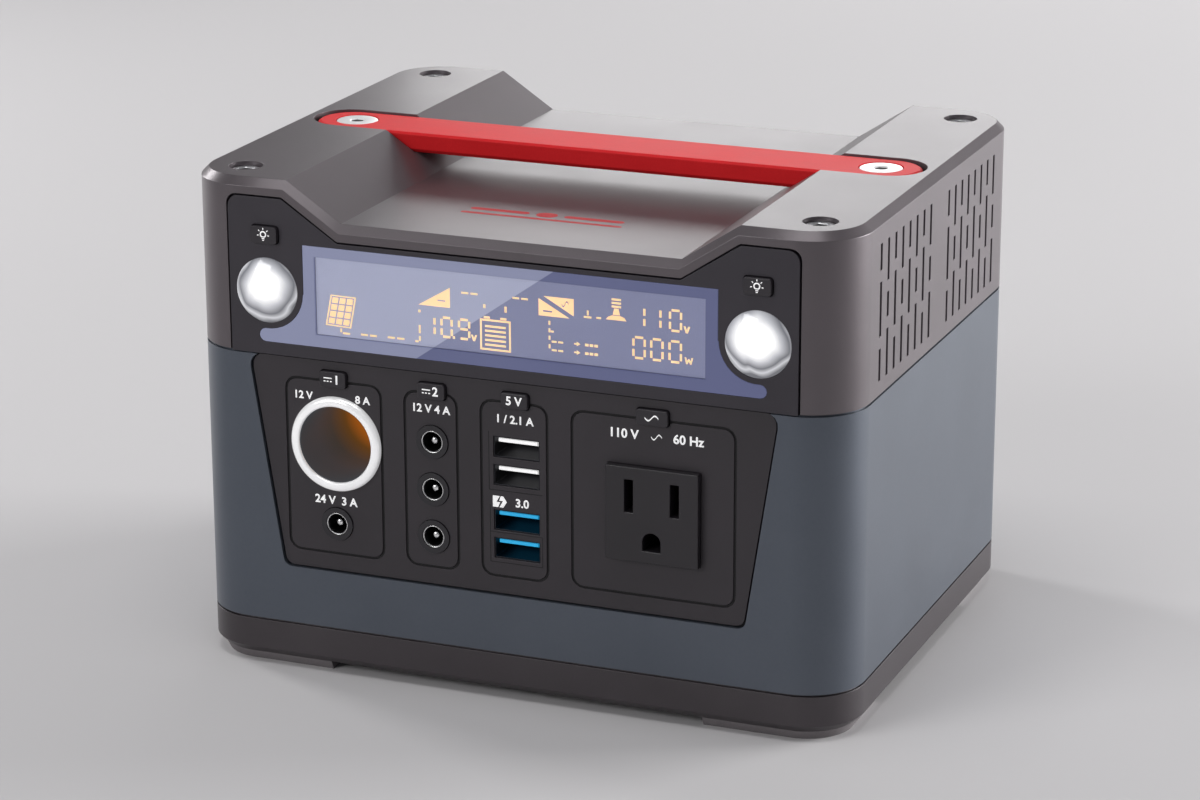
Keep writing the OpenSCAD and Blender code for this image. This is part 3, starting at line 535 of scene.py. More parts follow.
def populated_board(node, parts_name, columns, rows, side, region, share=0.55):
    """A board in its CAD shape, and the small parts on a free region of one of its faces.
    side is -1 for the front, 1 for the back and 2 for the top; the region is in millimetres."""
    rounded_copy(node, board_mask, 0.1)
    low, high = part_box(node)
    up = 2 if side == 2 else 1
    across = 1 if side == 2 else 2
    left, right, near, far = region
    steps = [(right - left) / columns * MM, (far - near) / rows * MM]
    first = [left * MM + steps[0] / 2, 0, 0]
    first[across] = near * MM + steps[1] / 2
    first[up] = low.y if side == -1 else high[up]
    row_step = [0, 0, 0]
    row_step[across] = steps[1]
    smallest = millimetres(0.8, 0.8, 0.8)
    largest = millimetres(2.6, 2.6, 2.6)
    largest[up] = 1.2 * MM
    parts = grown(
        unit_block("part"), board_parts, part_epoxy, columns=columns, column_step=[steps[0], 0, 0],
        rows=rows, row_step=row_step, first=first, smallest=smallest, largest=largest, share=share,
    )
    put(parts, parts_name, "casing")


populated_board("bms_board", "bms_parts", 24, 6, -1, (-58, 44, 15, 38))
lead_silicone = skin("red_silicone_lead", "#c4252b", "#b32026", 0.5, grain=0.8, relief=0.02)
rounded_copy("battery_leads", lead_silicone, 0.0)

# ------------------------------------------------------------------ divider and inverter board
# A moulded shelf over the cells carries the inverter board on four screws, with its ferrite
# transformer, electrolytic capacitors, toroid choke and two finned aluminium heatsinks.

black_nylon = skin("black_moulded_nylon", "#252427", "#1d1c1f", 0.5)
rounded_copy("divider_plate", black_nylon, 0.3)
populated_board("inverter_board", "inverter_parts", 10, 5, 2, (-57, -16, 51, 66), 0.6)
zinc_plate = metal("zinc_plated_steel", "#c7c9cc", "#aeb0b4", 0.3)
rounded_copy("board_screws", zinc_plate, 0.15)
ferrite = skin("sintered_ferrite", "#35353a", "#2a2a2e", 0.65, grain=0.6, relief=0.04)
enamelled_copper = metal(
    "enamelled_copper_wire", "#b5672f", "#93491d", 0.32, stretch=(1.0, 1.0, 0.05), line=0.8,
)
rounded_copy("transformer_core", ferrite, 0.4)
rounded_copy("transformer_winding", enamelled_copper, 0.5)
rounded_copy("filter_coil", enamelled_copper, 0.4)

capacitor_low, capacitor_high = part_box("capacitors")
capacitor_r = 9.0
capacitor_h = (capacitor_high.z - capacitor_low.z) / MM
capacitor_shape = turned("capacitor", [
    (0, 0), (capacitor_r - 0.8, 0), (capacitor_r, 0.8), (capacitor_r, 2.6), (capacitor_r - 0.7, 3.3),
    (capacitor_r, 4.0), (capacitor_r, capacitor_h - 1.0), (capacitor_r - 0.9, capacitor_h - 0.2),
    (capacitor_r - 1.8, capacitor_h), (capacitor_r - 2.2, capacitor_h - 0.5), (0, capacitor_h - 0.5),
], 32)
capacitor_film = skin("printed_pet_sleeve", "#2b4d8c", "#26457f", 0.35, coat=0.3)
capacitor_pitch = 19
capacitors = grown(
    capacitor_shape, columns_and_rows, capacitor_film, columns=4,
    column_step=millimetres(capacitor_pitch, 0, 0),
    rows=1, row_step=millimetres(0, 0, 1),
    first=[capacitor_low.x + capacitor_r * MM, capacitor_low.y + capacitor_r * MM, capacitor_low.z],
)
put(capacitors, "capacitors_piece", "casing", replaces=("capacitors",))
extruded_aluminium = metal("extruded_aluminium", "#c2c4c8", "#a9abb0", 0.35, stretch=(1.0, 1.0, 0.06))
rounded_copy("heatsinks", extruded_aluminium, 0.12)

# ------------------------------------------------------------------ output panel and its buttons
# Moulded charcoal ABS plate with a spark-eroded texture, dropped into the sleeve's cut-out with a
# shadow gap. Grooves outline the socket groups, and each group has a push button on its top line.


def upright(source, name, y_middle):
    """A flat curve or text drawn in millimetres, as a mesh that stands in a plane facing -Y"""
    holder = bpy.data.objects.new(name, source)
    bpy.context.scene.collection.objects.link(holder)
    bpy.context.view_layer.update()
    mesh = bpy.data.meshes.new_from_object(holder.evaluated_get(bpy.context.evaluated_depsgraph_get()))
    bpy.data.objects.remove(holder)
    mesh.transform(
        Matrix.Scale(MM, 4) @ Matrix.Translation((0, y_middle, 0)) @ Matrix.Rotation(math.pi / 2, 4, "X")
    )
    return reworked(
        mesh, lambda shell: bmesh.ops.remove_doubles(shell, verts=shell.verts, dist=0.001 * MM)
    )


def flat_shape(name, outlines, front, depth):
    """Plates with these outlines, in x and z millimetres; an outline inside another is a hole"""
    curve = bpy.data.curves.new(name, "CURVE")
    curve.dimensions = "2D"
    curve.fill_mode = "BOTH"
    curve.extrude = depth / 2
    for outline in outlines:
        spline = curve.splines.new("POLY")
        spline.points.add(len(outline) - 1)
        for point, (x, z) in zip(spline.points, outline):
            point.co = (x, z, 0, 1)
        spline.use_cyclic_u = True
    return upright(curve, name, front + depth / 2)


capital_share = 0.7


def figures(text, height, x, z, front, depth):
    """Figures and unit letters with their middle at x and z"""
    letters = bpy.data.curves.new("figures", "FONT")
    letters.body = text
    letters.size = height / capital_share
    letters.align_x = "CENTER"
    letters.align_y = "CENTER"
    letters.extrude = depth / 2
    letters.offset = 0.035 * height
    letters.resolution_u = 3
    mesh = upright(letters, "figures", front + depth / 2)
    mesh.transform(Matrix.Translation(millimetres(x, 0, z)))
    return mesh


def joined(name, meshes):
    """Several meshes as one"""
    shell = bmesh.new()
    for mesh in meshes:
        shell.from_mesh(mesh)
    whole = bpy.data.meshes.new(name)
    shell.to_mesh(whole)
    shell.free()
    return whole


def bar(x0, z0, x1, z1, width):
    """A straight bar's outline between two points"""
    run = Vector((x1 - x0, z1 - z0))
    side = Vector((-run.y, run.x)).normalized() * width / 2
    return [
        (x0 + side.x, z0 + side.y), (x1 + side.x, z1 + side.y),
        (x1 - side.x, z1 - side.y), (x0 - side.x, z0 - side.y),
    ]


def arc(x, z, radius, start, stop, steps=12):
    """Points along an arc, its angles in degrees"""
    turns = [math.radians(start + (stop - start) * i / steps) for i in range(steps + 1)]
    return [(x + radius * math.cos(a), z + radius * math.sin(a)) for a in turns]


panel_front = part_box("output_panel")[0].y / MM
button_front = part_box("dc1_button")[0].y / MM
ink_h = 0.06
ink_sink = 0.1

charcoal_panel = skin("charcoal_spark_eroded_abs", "#353035", "#2e2a2e", 0.5, grain=0.35, relief=0.025)
black_button = skin("black_button_abs", "#312d32", "#29262b", 0.42, grain=0.3, relief=0.012)
# The white ink carries a painted glow.
white_ink_painted_glow = skin("white_pad_printed_ink_painted_glow", "#ffffff", "#f2f2f2", 0.5, grain=0.2, relief=0.005, glow=0.35)
groove_shadow = skin("painted_groove_shadow", "#141215", "#0e0c0f", 0.7)

rounded_copy("output_panel", charcoal_panel, 0.12)
panel_marks = [
    ("12 V", 2.07, -59.6, 78.6), ("8 A", 2.07, -42.1, 78.9), ("24 V  3 A", 2.25, -50.6, 49.8),
    ("12 V 4 A", 2.16, -22.2, 78.9), ("1 / 2.1 A", 2.16, 1.8, 78.6), ("3.0", 2.25, 3.8, 55.7),
    ("110 V", 2.43, 32.5, 78.7), ("60 Hz", 2.43, 50.4, 78.7),
]


def printed(marks, outlines, front, name, body="casing"):
    """Printed figures and signs, a hair proud of a face"""
    parts = [figures(text, h, x, z, front - ink_h, ink_h + ink_sink) for text, h, x, z in marks]
    parts.append(flat_shape("signs", outlines, front - ink_h, ink_h + ink_sink))
    put(joined(name, parts), name, body, white_ink_painted_glow)


def direct_sign(x, z):
    """The sign for direct current: a line over three dashes"""
    dashes = [bar(x + d, z - 0.45, x + d + 0.55, z - 0.45, 0.32) for d in (-1.2, -0.28, 0.65)]
    return [bar(x - 1.2, z + 0.45, x + 1.2, z + 0.45, 0.32)] + dashes


def wave_sign(x, z, reach=1.5, width=0.36):
    """The sign for alternating current: one period of a wave"""
    crest = [(x + reach * t / 10, z + 0.7 * math.sin(math.pi * t / 10)) for t in range(-10, 11)]
    above = [(a, b + width / 2) for a, b in crest]
    return above + [(a, b - width / 2) for a, b in reversed(crest)]


charge_sign = [
    [(-4.6, 57.2), (-2.6, 57.2), (-3.6, 55.5), (-2.5, 55.5), (-3.1, 54.1), (-4.6, 54.1)],
    [(-2.3, 57.2), (-1.6, 57.2), (-0.6, 55.7), (-1.6, 54.1), (-2.7, 54.1), (-1.7, 55.9), (-2.8, 55.9)],
]
printed(panel_marks, charge_sign + [wave_sign(41.6, 78.7)], panel_front, "panel_print")

# Dark strips along the USB ports' frame stand for thin grooves there: painted groove shadow, the grooves are
# not cut.
usb_line_w = 0.22
usb_frame_groove_shadows = [bar(*ends, usb_line_w) for ends in (
    (-5.6, 74.9, -5.6, 58.8), (-5.6, 58.8, 9.6, 58.8), (-5.4, 54.6, -5.4, 38.7), (-5.4, 38.7, 9.5, 38.7),
    (9.5, 38.7, 9.5, 47.1), (-5.4, 47.1, 9.5, 47.1),
)]
usb_frame = [flat_shape("line", [line], panel_front - 0.02, 0.1) for line in usb_frame_groove_shadows]
put(joined("usb_frame", usb_frame), "usb_frame_groove_shadows", "casing", groove_shadow)


def round_frame(x0, x1, z0, z1, r):
    """A rectangle's outline with round corners"""
    return (
        arc(x1 - r, z1 - r, r, 0, 90, 6) + arc(x0 + r, z1 - r, r, 90, 180, 6)
        + arc(x0 + r, z0 + r, r, 180, 270, 6) + arc(x1 - r, z0 + r, r, 270, 360, 6)
    )


group_edges = [(-64.9, -36.3), (-30.1, -14.3), (-8.1, 11.4), (17.7, 63.6)]
group_bottom, group_top, groove_w = 34.5, 83.7, 0.7
groove_r = 3.5
# Dark rings low in the group grooves: painted groove shadow.
groove_floor_shadow = []
for left, right in group_edges:
    for inset in (0, groove_w):
        groove_floor_shadow.append(round_frame(
            left + inset, right - inset, group_bottom + inset, group_top - inset, groove_r - inset,
        ))
put(
    flat_shape("groove_floor_shadow", groove_floor_shadow, panel_front + 0.35, 0.2), "groove_floor_shadow",
    "casing", groove_shadow,
)

button_z = 84.1
button_marks = {
    "dc1_button": ([("1", 2.4, -49.0, button_z)], direct_sign(-51.6, button_z)),
    "dc2_button": ([("2", 2.4, -20.3, button_z)], direct_sign(-22.9, button_z)),
    "usb_button": ([("5 V", 2.3, 2.15, button_z)], []),
    "ac_button": ([], [wave_sign(40.7, button_z, 1.9, 0.42)]),
}
for name, (marks, outlines) in button_marks.items():
    rounded_copy(name, black_button, 0.4, body=name)
    printed(marks, outlines, button_front, name + "_print", name)

switch_steel = metal("stamped_switch_steel", "#c4c6c9", "#a9abae", 0.35)
rounded_copy("tact_switches", switch_steel, 0.1)

# ------------------------------------------------------------------ lighter socket
# Deep-drawn steel tube behind a chromed ring, with an amber insulator at its bottom and a sprung
# brass centre contact. The polished ring has a painted glow, a painted highlight that lights it up
# against the dark panel, and the tube and insulator carry a painted amber glow towards the bottom.

ring_low, ring_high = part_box("lighter_ring")
ring_x = (ring_low.x + ring_high.x) / 2 / MM
ring_z = (ring_low.z + ring_high.z) / 2 / MM
ring_r = (ring_high.x - ring_low.x) / 2 / MM
ring_h = (ring_high.y - ring_low.y) / MM
ring_bore = 10.65
ring_shape = turned("lighter_ring", [
    (ring_bore, 0.0), (ring_bore, ring_h - 0.35), (ring_bore + 0.25, ring_h - 0.05),
    (ring_bore + 0.6, ring_h), (ring_r - 1.1, ring_h - 0.05), (ring_r - 0.5, ring_h - 0.3),
    (ring_r - 0.1, ring_h - 0.8), (ring_r, 0.2), (ring_r, 0.0),
], 96, ring=True)


def laid_along_y(mesh, x, y, z, turn):
    """A turned mesh moved to a place in millimetres and laid along Y, its top to -Y for turn 1"""
    mesh.transform(Matrix.Translation(millimetres(x, y, z)) @ Matrix.Rotation(turn * math.pi / 2, 4, "X"))
    return mesh


laid_along_y(ring_shape, ring_x, ring_high.y / MM, ring_z, 1)
# The ring's colour carries a painted glow that stands in for its highlight.
ring_chrome_painted_glow = skin(
    "white_chromed_brass_painted_glow", "#ffffff", "#f4f4f6", 0.2, metallic=0.35, grain=0.6, relief=0.004, coat=0.5,
    glow=0.3,
)
tube_low, tube_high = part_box("lighter_barrel")
tube_front = tube_low.y / MM
tube_back = tube_high.y / MM
tube_l = tube_back - tube_front
tube_bore = 10.45
tube_r = (tube_high.x - tube_low.x) / 2 / MM
tube_floor = tube_l - 3.0
tube_shoulder = tube_l - 7.0
shoulder_bore = tube_bore - 0.6
insulator_bore = tube_bore - 0.95


def tube_painted_glow():
    """Dark drawn steel with turning marks, with a painted amber glow that grows towards its bottom"""
    material, tree, place = new_material("drawn_steel_tube_painted_glow")
    parts = add_node(tree, "ShaderNodeSeparateXYZ", links={"Vector": place})
    depth = add_node(
        tree, "ShaderNodeMapRange", values={"From Min": tube_front * MM, "From Max": tube_back * MM},
        links={"Value": parts.outputs["Y"]},
    )
    # Painted glow: grey near the mouth, turning amber towards the bottom.
    shade = ramp(tree, depth.outputs["Result"], [
        (0.25, "#3b3e42"), (0.45, "#3a3a38"), (0.66, "#59401f"), (0.85, "#9c5c1a"),
    ])
    marks = add_node(
        tree, "ShaderNodeTexWave", {"wave_type": "BANDS", "bands_direction": "Y"},
        {"Scale": 1 / (4 * MM), "Distortion": 0.5, "Detail": 2.0}, {"Vector": place},
    )
    return surfaced(
        material, {"Metallic": 0.6, "Roughness": 0.45, "Emission Strength": 0.7},
        {
            "Base Color": shade, "Emission Color": shade,
            "Normal": bump(tree, marks.outputs["Fac"], 0.2, 0.01),
        },
    )


# The insulator's amber carries a painted glow.
amber_resin_painted_glow = skin(
    "amber_moulded_resin_painted_glow", "#d98426", "#b5661a", 0.4, grain=1.0, relief=0.01, coat=0.4, glow=0.6,
)
contact_brass = metal("turned_contact_brass", "#d8a852", "#bd8c3c", 0.25)
spring_steel = metal("spring_steel_wire", "#8f9195", "#77797d", 0.3)
put(ring_shape, "lighter_ring_piece", "casing", ring_chrome_painted_glow, ("lighter_ring",))
tube_shape = turned("lighter_barrel", [
    (tube_bore, 0.3), (tube_bore + 0.3, 0.0), (tube_r - 0.1, 0.0), (tube_r, 0.1),
    (tube_r, tube_floor), (tube_r - 0.4, tube_l), (insulator_bore, tube_l), (insulator_bore, tube_floor),
    (shoulder_bore, tube_floor), (shoulder_bore, tube_shoulder), (tube_bore, tube_shoulder),
], 64, ring=True)
laid_along_y(tube_shape, ring_x, tube_front, ring_z, -1)
put(tube_shape, "lighter_barrel_piece", "casing", tube_painted_glow(), ("lighter_barrel",))
rounded_copy("lighter_insulator", amber_resin_painted_glow, 0.2)

# The contact is a touch shorter than its CAD node, so that it clears the insulator at full travel.
contact = merged_copy("lighter_contact")
contact_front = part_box("lighter_contact")[0].y
contact_share = 0.985
for vertex in contact.vertices:
    vertex.co.y = contact_front + (vertex.co.y - contact_front) * contact_share
put(
    contact, "lighter_contact_piece", "lighter_contact", contact_brass,
    ("lighter_contact",), 0.3,
)
rounded_copy("lighter_spring", spring_steel, 0.0)

# ------------------------------------------------------------------ barrel jacks and charging jack
# Four jacks in black moulded bodies, each with a nickel sleeve and a bright centre pin, soldered
# to the output board. The larger charging jack sits on the back wall.

jack_nylon = skin("glossy_black_nylon", "#232126", "#1b191e", 0.3, grain=0.5, relief=0.01, coat=0.2)
bright_nickel = metal("bright_nickel_plate", "#ffffff", "#ececec", 0.12)
# The sleeves get a darker copy of the nickel: painted shade inside the bores; rims and pins keep the bright
# nickel.
nickel_painted_shade = metal("nickel_plate_painted_shade", "#8b8b8d", "#6f6f72", 0.35)
rounded_copy("jack_bodies", jack_nylon, 0.35)
rounded_copy("charge_jack_body", jack_nylon, 0.35)
rounded_copy("charge_jack_contacts", bright_nickel, 0.12)

jack_low, jack_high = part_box("jack_contacts")
jack_l = (jack_high.y - jack_low.y) / MM
jack_places = [(-50.35, 43.3), (-21.9, 69.9), (-21.9, 56.65), (-21.9, 43.4)]
jack_rim = [(3.12, 0.3), (3.12, 0.08), (3.02, 0.0), (2.9, 0.0), (2.8, 0.08), (2.78, 0.3)]
sleeve_back = jack_l - 1.0
jack_sleeve = [(3.1, 0.32), (2.75, 0.32), (2.75, sleeve_back), (3.1, sleeve_back)]
jack_pin = [(0, 1.25), (0.5, 1.3), (0.9, 1.55), (1.05, 2.0), (1.05, jack_l), (0, jack_l)]


def jack_parts(name, profile, material, ring):
    """One turned part for each of the jacks, from its profile behind the jacks' front"""
    front = jack_low.y / MM
    parts = [laid_along_y(turned(name, profile, 40, ring=ring), x, front, z, -1) for x, z in jack_places]
    put(joined(name, parts), name, "casing", material, ("jack_contacts",))


jack_parts("jack_rims", jack_rim, bright_nickel, True)
jack_parts("jack_sleeves", jack_sleeve, nickel_painted_shade, True)
jack_parts("jack_pins", jack_pin, bright_nickel, False)

# ------------------------------------------------------------------ charging ports
# Folded steel shells with moulded tongues, white for the two plain ports and blue for the two
# fast ones. Each tongue has a chamfered lip and gold contacts on its underside.

port_steel = metal("folded_shell_steel", "#3d3d41", "#2d2d31", 0.42, stretch=(0.1, 1.0, 1.0))
# Both tongue colours carry a painted glow.
white_tongue = skin("white_moulded_pbt_painted_glow", "#ffffff", "#f2f2f2", 0.35, glow=0.5)
blue_tongue = skin("blue_moulded_pbt_painted_glow", "#2fb9f0", "#25a9e0", 0.35, glow=0.4)
contact_gold = metal("gold_plated_spring", "#e0b457", "#c99b40", 0.2)
rounded_copy("usb_shells", port_steel, 0.1)


def port_tongues(node, piece_name, material):
    """Two tongues with a lip that thins towards the front, and their contacts"""
    low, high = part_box(node)
    lip_h, chamfer, tongue_h = 0.95 * MM, 2.4 * MM, 1.84 * MM
    blocks = []
    for top in (high.z, low.z + tongue_h):
        side = [
            (low.y, top), (low.y, top - lip_h), (low.y + chamfer, top - tongue_h),
            (high.y, top - tongue_h), (high.y, top),
        ]
        corners = [(x, y, z) for x in (low.x, high.x) for y, z in side]
        faces = [(0, 1, 2, 3, 4), (9, 8, 7, 6, 5)]
        faces += [(i, i + 5, (i + 1) % 5 + 5, (i + 1) % 5) for i in range(5)]
        blocks.append(solid(piece_name, corners, faces))
    put(joined(piece_name, blocks), piece_name, "casing", material, (node,), 0.12)
    blade = unit_block("contact")
    blade.transform(Matrix.Diagonal((1.0 * MM, 4.0 * MM, 0.16 * MM, 1.0)))
    first = [(low.x + high.x) / 2 - 3.5 * MM, low.y + chamfer + 2.5 * MM, low.z]
    contact_pitch = 2.33
    contacts = grown(
        blade, columns_and_rows, contact_gold, columns=4, column_step=millimetres(contact_pitch, 0, 0),
        rows=2, row_step=[0, 0, high.z - low.z - tongue_h], first=first,
    )
    put(contacts, piece_name + "_contacts", "casing")


port_tongues("usb_tongues_white", "white_tongues", white_tongue)
port_tongues("usb_tongues_blue", "blue_tongues", blue_tongue)

# ------------------------------------------------------------------ mains receptacle
# One three-hole receptacle moulded in black nylon, snapped in from the front so that its square
# face stands proud of the panel. Bronze leaves wait behind the holes.

receptacle_nylon = skin(
    "black_receptacle_nylon", "#262227", "#1f1c20", 0.4, grain=0.5, relief=0.01, coat=0.1,
)
leaf_bronze = metal("phosphor_bronze_leaf", "#b98350", "#9c6a3c", 0.3)
rounded_copy("ac_receptacle", receptacle_nylon, 0.35)
rounded_copy("ac_contacts", leaf_bronze, 0.05)
populated_board("output_board", "output_parts", 13, 10, 1, (-33, 22, 38, 86), 0.5)

# ------------------------------------------------------------------ display
# A backlit segment display behind a tinted acrylic window. The window's border is back-printed
# in a blue grey with a painted glow, and the shown signs glow a warm amber. Window print and
# display carry a painted reflection: lighter left of a slanting line, darker right of it.

lcd_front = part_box("lcd_module")[0].y / MM
lcd_half_w = 55.1
lcd_bottom = 95.9
lcd_top = 117.3
sheen_x = -25.0
sheen_z = 93.2
sheen_run = 1.42


def mixed(tree, share, first, second, **settings):
    """A mix of two colours by a share, each a socket or a constant"""
    node = add_node(tree, "ShaderNodeMix", {"data_type": "RGBA", **settings})
    for key, value in ((0, share), (6, first), (7, second)):
        if isinstance(value, (float, list)):
            node.inputs[key].default_value = value
        else:
            tree.links.new(value, node.inputs[key])
    return node.outputs[2]


def painted_reflection_split(tree, place, left, right):
    """Two shades either side of a slanting line across the window: a painted reflection"""
    parts = add_node(tree, "ShaderNodeSeparateXYZ", links={"Vector": place}).outputs
    lean = maths(tree, "MULTIPLY_ADD", parts["Z"], -sheen_run, sheen_run * sheen_z * MM)
    edge = add_node(
        tree, "ShaderNodeMapRange",
        values={"From Min": (sheen_x - 0.15) * MM, "From Max": (sheen_x + 0.15) * MM},
        links={"Value": maths(tree, "ADD", parts["X"], lean)},
    )
    cloud = noise(tree, place, 40, Detail=1.0)
    soft = maths(tree, "MULTIPLY_ADD", cloud, 0.25, -0.12)
    share = maths(tree, "ADD", edge.outputs["Result"], soft)
    return parts, mixed(tree, share, linear(left), linear(right))


def tinted_window():
    """Clear acrylic over the display, with a blue-grey print round it that has a painted glow and a painted
    reflection
    """
    material, tree, place = new_material("back_printed_acrylic")
    parts, print_colour = painted_reflection_split(tree, place, "#7e829b", "#585c7b")
    within_x = maths(tree, "LESS_THAN", maths(tree, "ABSOLUTE", parts["X"]), lcd_half_w * MM)
    middle, half_h = (lcd_bottom + lcd_top) / 2 * MM, (lcd_top - lcd_bottom) / 2 * MM
    clear = maths(tree, "MULTIPLY", within_x, maths(tree, "COMPARE", parts["Z"], middle, half_h))
    # The print's colour is also its emission: painted glow.
    return surfaced(
        material, {"Roughness": 0.06, "IOR": 1.3, "Emission Strength": 0.55},
        {
            "Base Color": mixed(tree, clear, print_colour, linear("#f1f2ff")),
            "Emission Color": mixed(tree, clear, print_colour, linear("#000000")),
            "Transmission Weight": clear,
        },
    )


def lit_display():
    """The display's backlit glass: blue grey under a painted reflection, with a faint grid of unlit segments
    """
    material, tree, place = new_material("backlit_display_glass")
    colour = painted_reflection_split(tree, place, "#a1a4ae", "#7b7e90")[1]
    grid = add_node(
        tree, "ShaderNodeTexBrick", {"offset": 0.0},
        {
            "Scale": 1 / (1.2 * MM), "Mortar Size": 0.02, "Color1": linear("#ffffff"),
            "Color2": linear("#ffffff"), "Mortar": linear("#f4f4f8"),
        },
        {"Vector": place},
    )
    shown = mixed(tree, 1.0, colour, grid.outputs["Color"], blend_type="MULTIPLY")
    return surfaced(
        material, {"Roughness": 0.3, "Emission Strength": 0.78},
        {"Base Color": shown, "Emission Color": shown},
    )


amber_segments = skin("amber_lit_segments", "#ffdca0", "#f3cb8c", 0.5, glow=0.95)
fascia_abs = skin("charcoal_fascia_abs", "#37333a", "#302c33", 0.48, grain=0.35, relief=0.02)
rounded_copy("front_fascia", fascia_abs, 0.25)
rounded_copy("display_window", tinted_window(), 0.15)
rounded_copy("lcd_module", lit_display(), 0.1)
populated_board("display_board", "display_parts", 26, 6, 1, (-52, 52, 95, 118), 0.5)

segment_w = 0.62


def digit(figure, x, z, width, height):
    """The lit segments of a seven-segment figure whose lower left corner is at x and z"""
    lit = {"0": "abcdef", "1": "bc", "9": "abcdfg"}[figure]
    gap = 0.42
    middle = z + height / 2
    ends = {
        "a": (x + gap, z + height, x + width - gap, z + height),
        "b": (x + width, z + height - gap, x + width, middle + gap),
        "c": (x + width, middle - gap, x + width, z + gap),
        "d": (x + gap, z, x + width - gap, z),
        "e": (x, middle - gap, x, z + gap),
        "f": (x, z + height - gap, x, middle + gap),
        "g": (x + gap, middle, x + width - gap, middle),
    }
    return [bar(*ends[part], segment_w) for part in lit]


def letter_v(x, z, size):
    """A small V"""
    half, stroke = size / 2, size * 0.3
    return [[
        (x, z + size), (x + stroke, z + size), (x + half, z + size * 0.4), (x + size - stroke, z + size),
        (x + size, z + size), (x + half + stroke / 2, z), (x + half - stroke / 2, z),
    ]]


def letter_w(x, z, size):
    """A small W"""
    stroke, step = size * 0.26, size * 0.3
    return [[
        (x, z + size), (x + stroke, z + size), (x + step + stroke * 0.2, z + size * 0.45),
        (x + size * 0.65, z + size * 0.85), (x + size - step * 0.1, z + size * 0.45),
        (x + size * 1.3 - stroke, z + size), (x + size * 1.3, z + size), (x + size * 1.05, z),
        (x + size * 0.85, z), (x + size * 0.65, z + size * 0.45), (x + size * 0.45, z), (x + size * 0.25, z),
    ]]


def dashes(x0, x1, z, count=2, width=0.5):
    """Short dashes in a line"""
    step = (x1 - x0) / (count - 0.25)
    return [bar(x0 + step * i, z, x0 + step * (i + 0.75), z, width) for i in range(count)]


def solar_sign():
    """A leaning solar panel of three by four cells"""
    corners = [Vector(p) for p in ((-51.9, 99.2), (-45.5, 99.0), (-44.0, 106.7), (-50.4, 106.8))]

    def inside(u, v):
        below = corners[0] * (1 - u) + corners[1] * u
        above = corners[3] * (1 - u) + corners[2] * u
        return tuple(below * (1 - v) + above * v)

    def patch(u0, v0, u1, v1):
        return [inside(u0, v0), inside(u1, v0), inside(u1, v1), inside(u0, v1)]

    cells = [
        patch((i + 0.1) / 3, (j + 0.1) / 4, (i + 0.9) / 3, (j + 0.9) / 4) for i in range(3) for j in range(4)
    ]
    return cells + [patch(-0.08, -0.06, 1.08, 1.06), patch(-0.02, -0.02, 1.02, 1.02)]


def battery_sign():
    """A battery with its two terminals and five bars"""
    outline = [[(-7.8, 96.9), (0.9, 96.9), (0.9, 105.3), (-7.8, 105.3)]]
    outline.append([(-7.3, 97.4), (0.4, 97.4), (0.4, 104.8), (-7.3, 104.8)])
    terminals = [bar(-6.7, 105.75, -5.0, 105.75, 0.6), bar(-2.0, 105.75, -0.3, 105.75, 0.6)]
    levels = [bar(-6.4, 98.4 + 1.25 * i, -0.5, 98.4 + 1.25 * i, 0.55) for i in range(5)]
    return outline + terminals + levels


def converter_sign():
    """A square split by a slanting line, with a dash in one half and a wave in the other"""
    lower = [[(8.8, 107.9), (17.4, 107.9), (8.8, 112.5)], bar(10.0, 109.2, 12.6, 109.2, 0.45)]
    upper = [[(10.2, 113.2), (18.6, 113.2), (18.6, 108.6)], wave_sign(16.2, 111.6, 1.0, 0.4)]
    return lower + upper


def lamp_post_sign():
    """A stacked post on a broad foot, for the mains load"""
    foot = [[(27.5, 108.8), (33.2, 108.8), (32.6, 109.6), (31.6, 110.0), (29.2, 110.0), (28.2, 109.6)]]
    post = [[(29.4, 110.2), (31.4, 110.2), (31.0, 111.9), (29.8, 111.9)]]
    discs = [bar(29.1, 112.4 + 0.95 * i, 31.7, 112.4 + 0.95 * i, 0.55) for i in range(3)]
    return foot + post + discs


def branch_sign():
    """A dashed stem with two branches and their arrows"""
    stem = [bar(11.8, z, 11.8, z + 1.1, 0.5) for z in (99.3, 101.6, 103.6, 105.6)]
    branches = dashes(12.4, 15.6, 101.2) + dashes(12.4, 15.6, 98.9) + [bar(12.2, 103.9, 13.0, 103.9, 0.5)]
    arrows = []
    for z in (101.3, 99.0):
        arrows.append([
            (18.7, z - 0.2), (19.4, z - 0.2), (19.4, z - 0.6), (20.4, z), (19.4, z + 0.6),
            (19.4, z + 0.2), (18.7, z + 0.2),
        ])
        arrows.extend(dashes(21.7, 25.3, z, 3, 0.7))
    return stem + branches + arrows


def number(text, places, z, width, height):
    """Seven-segment figures with their lower left corners at these places"""
    return [part for figure, x in zip(text, places) for part in digit(figure, x, z, width, height)]


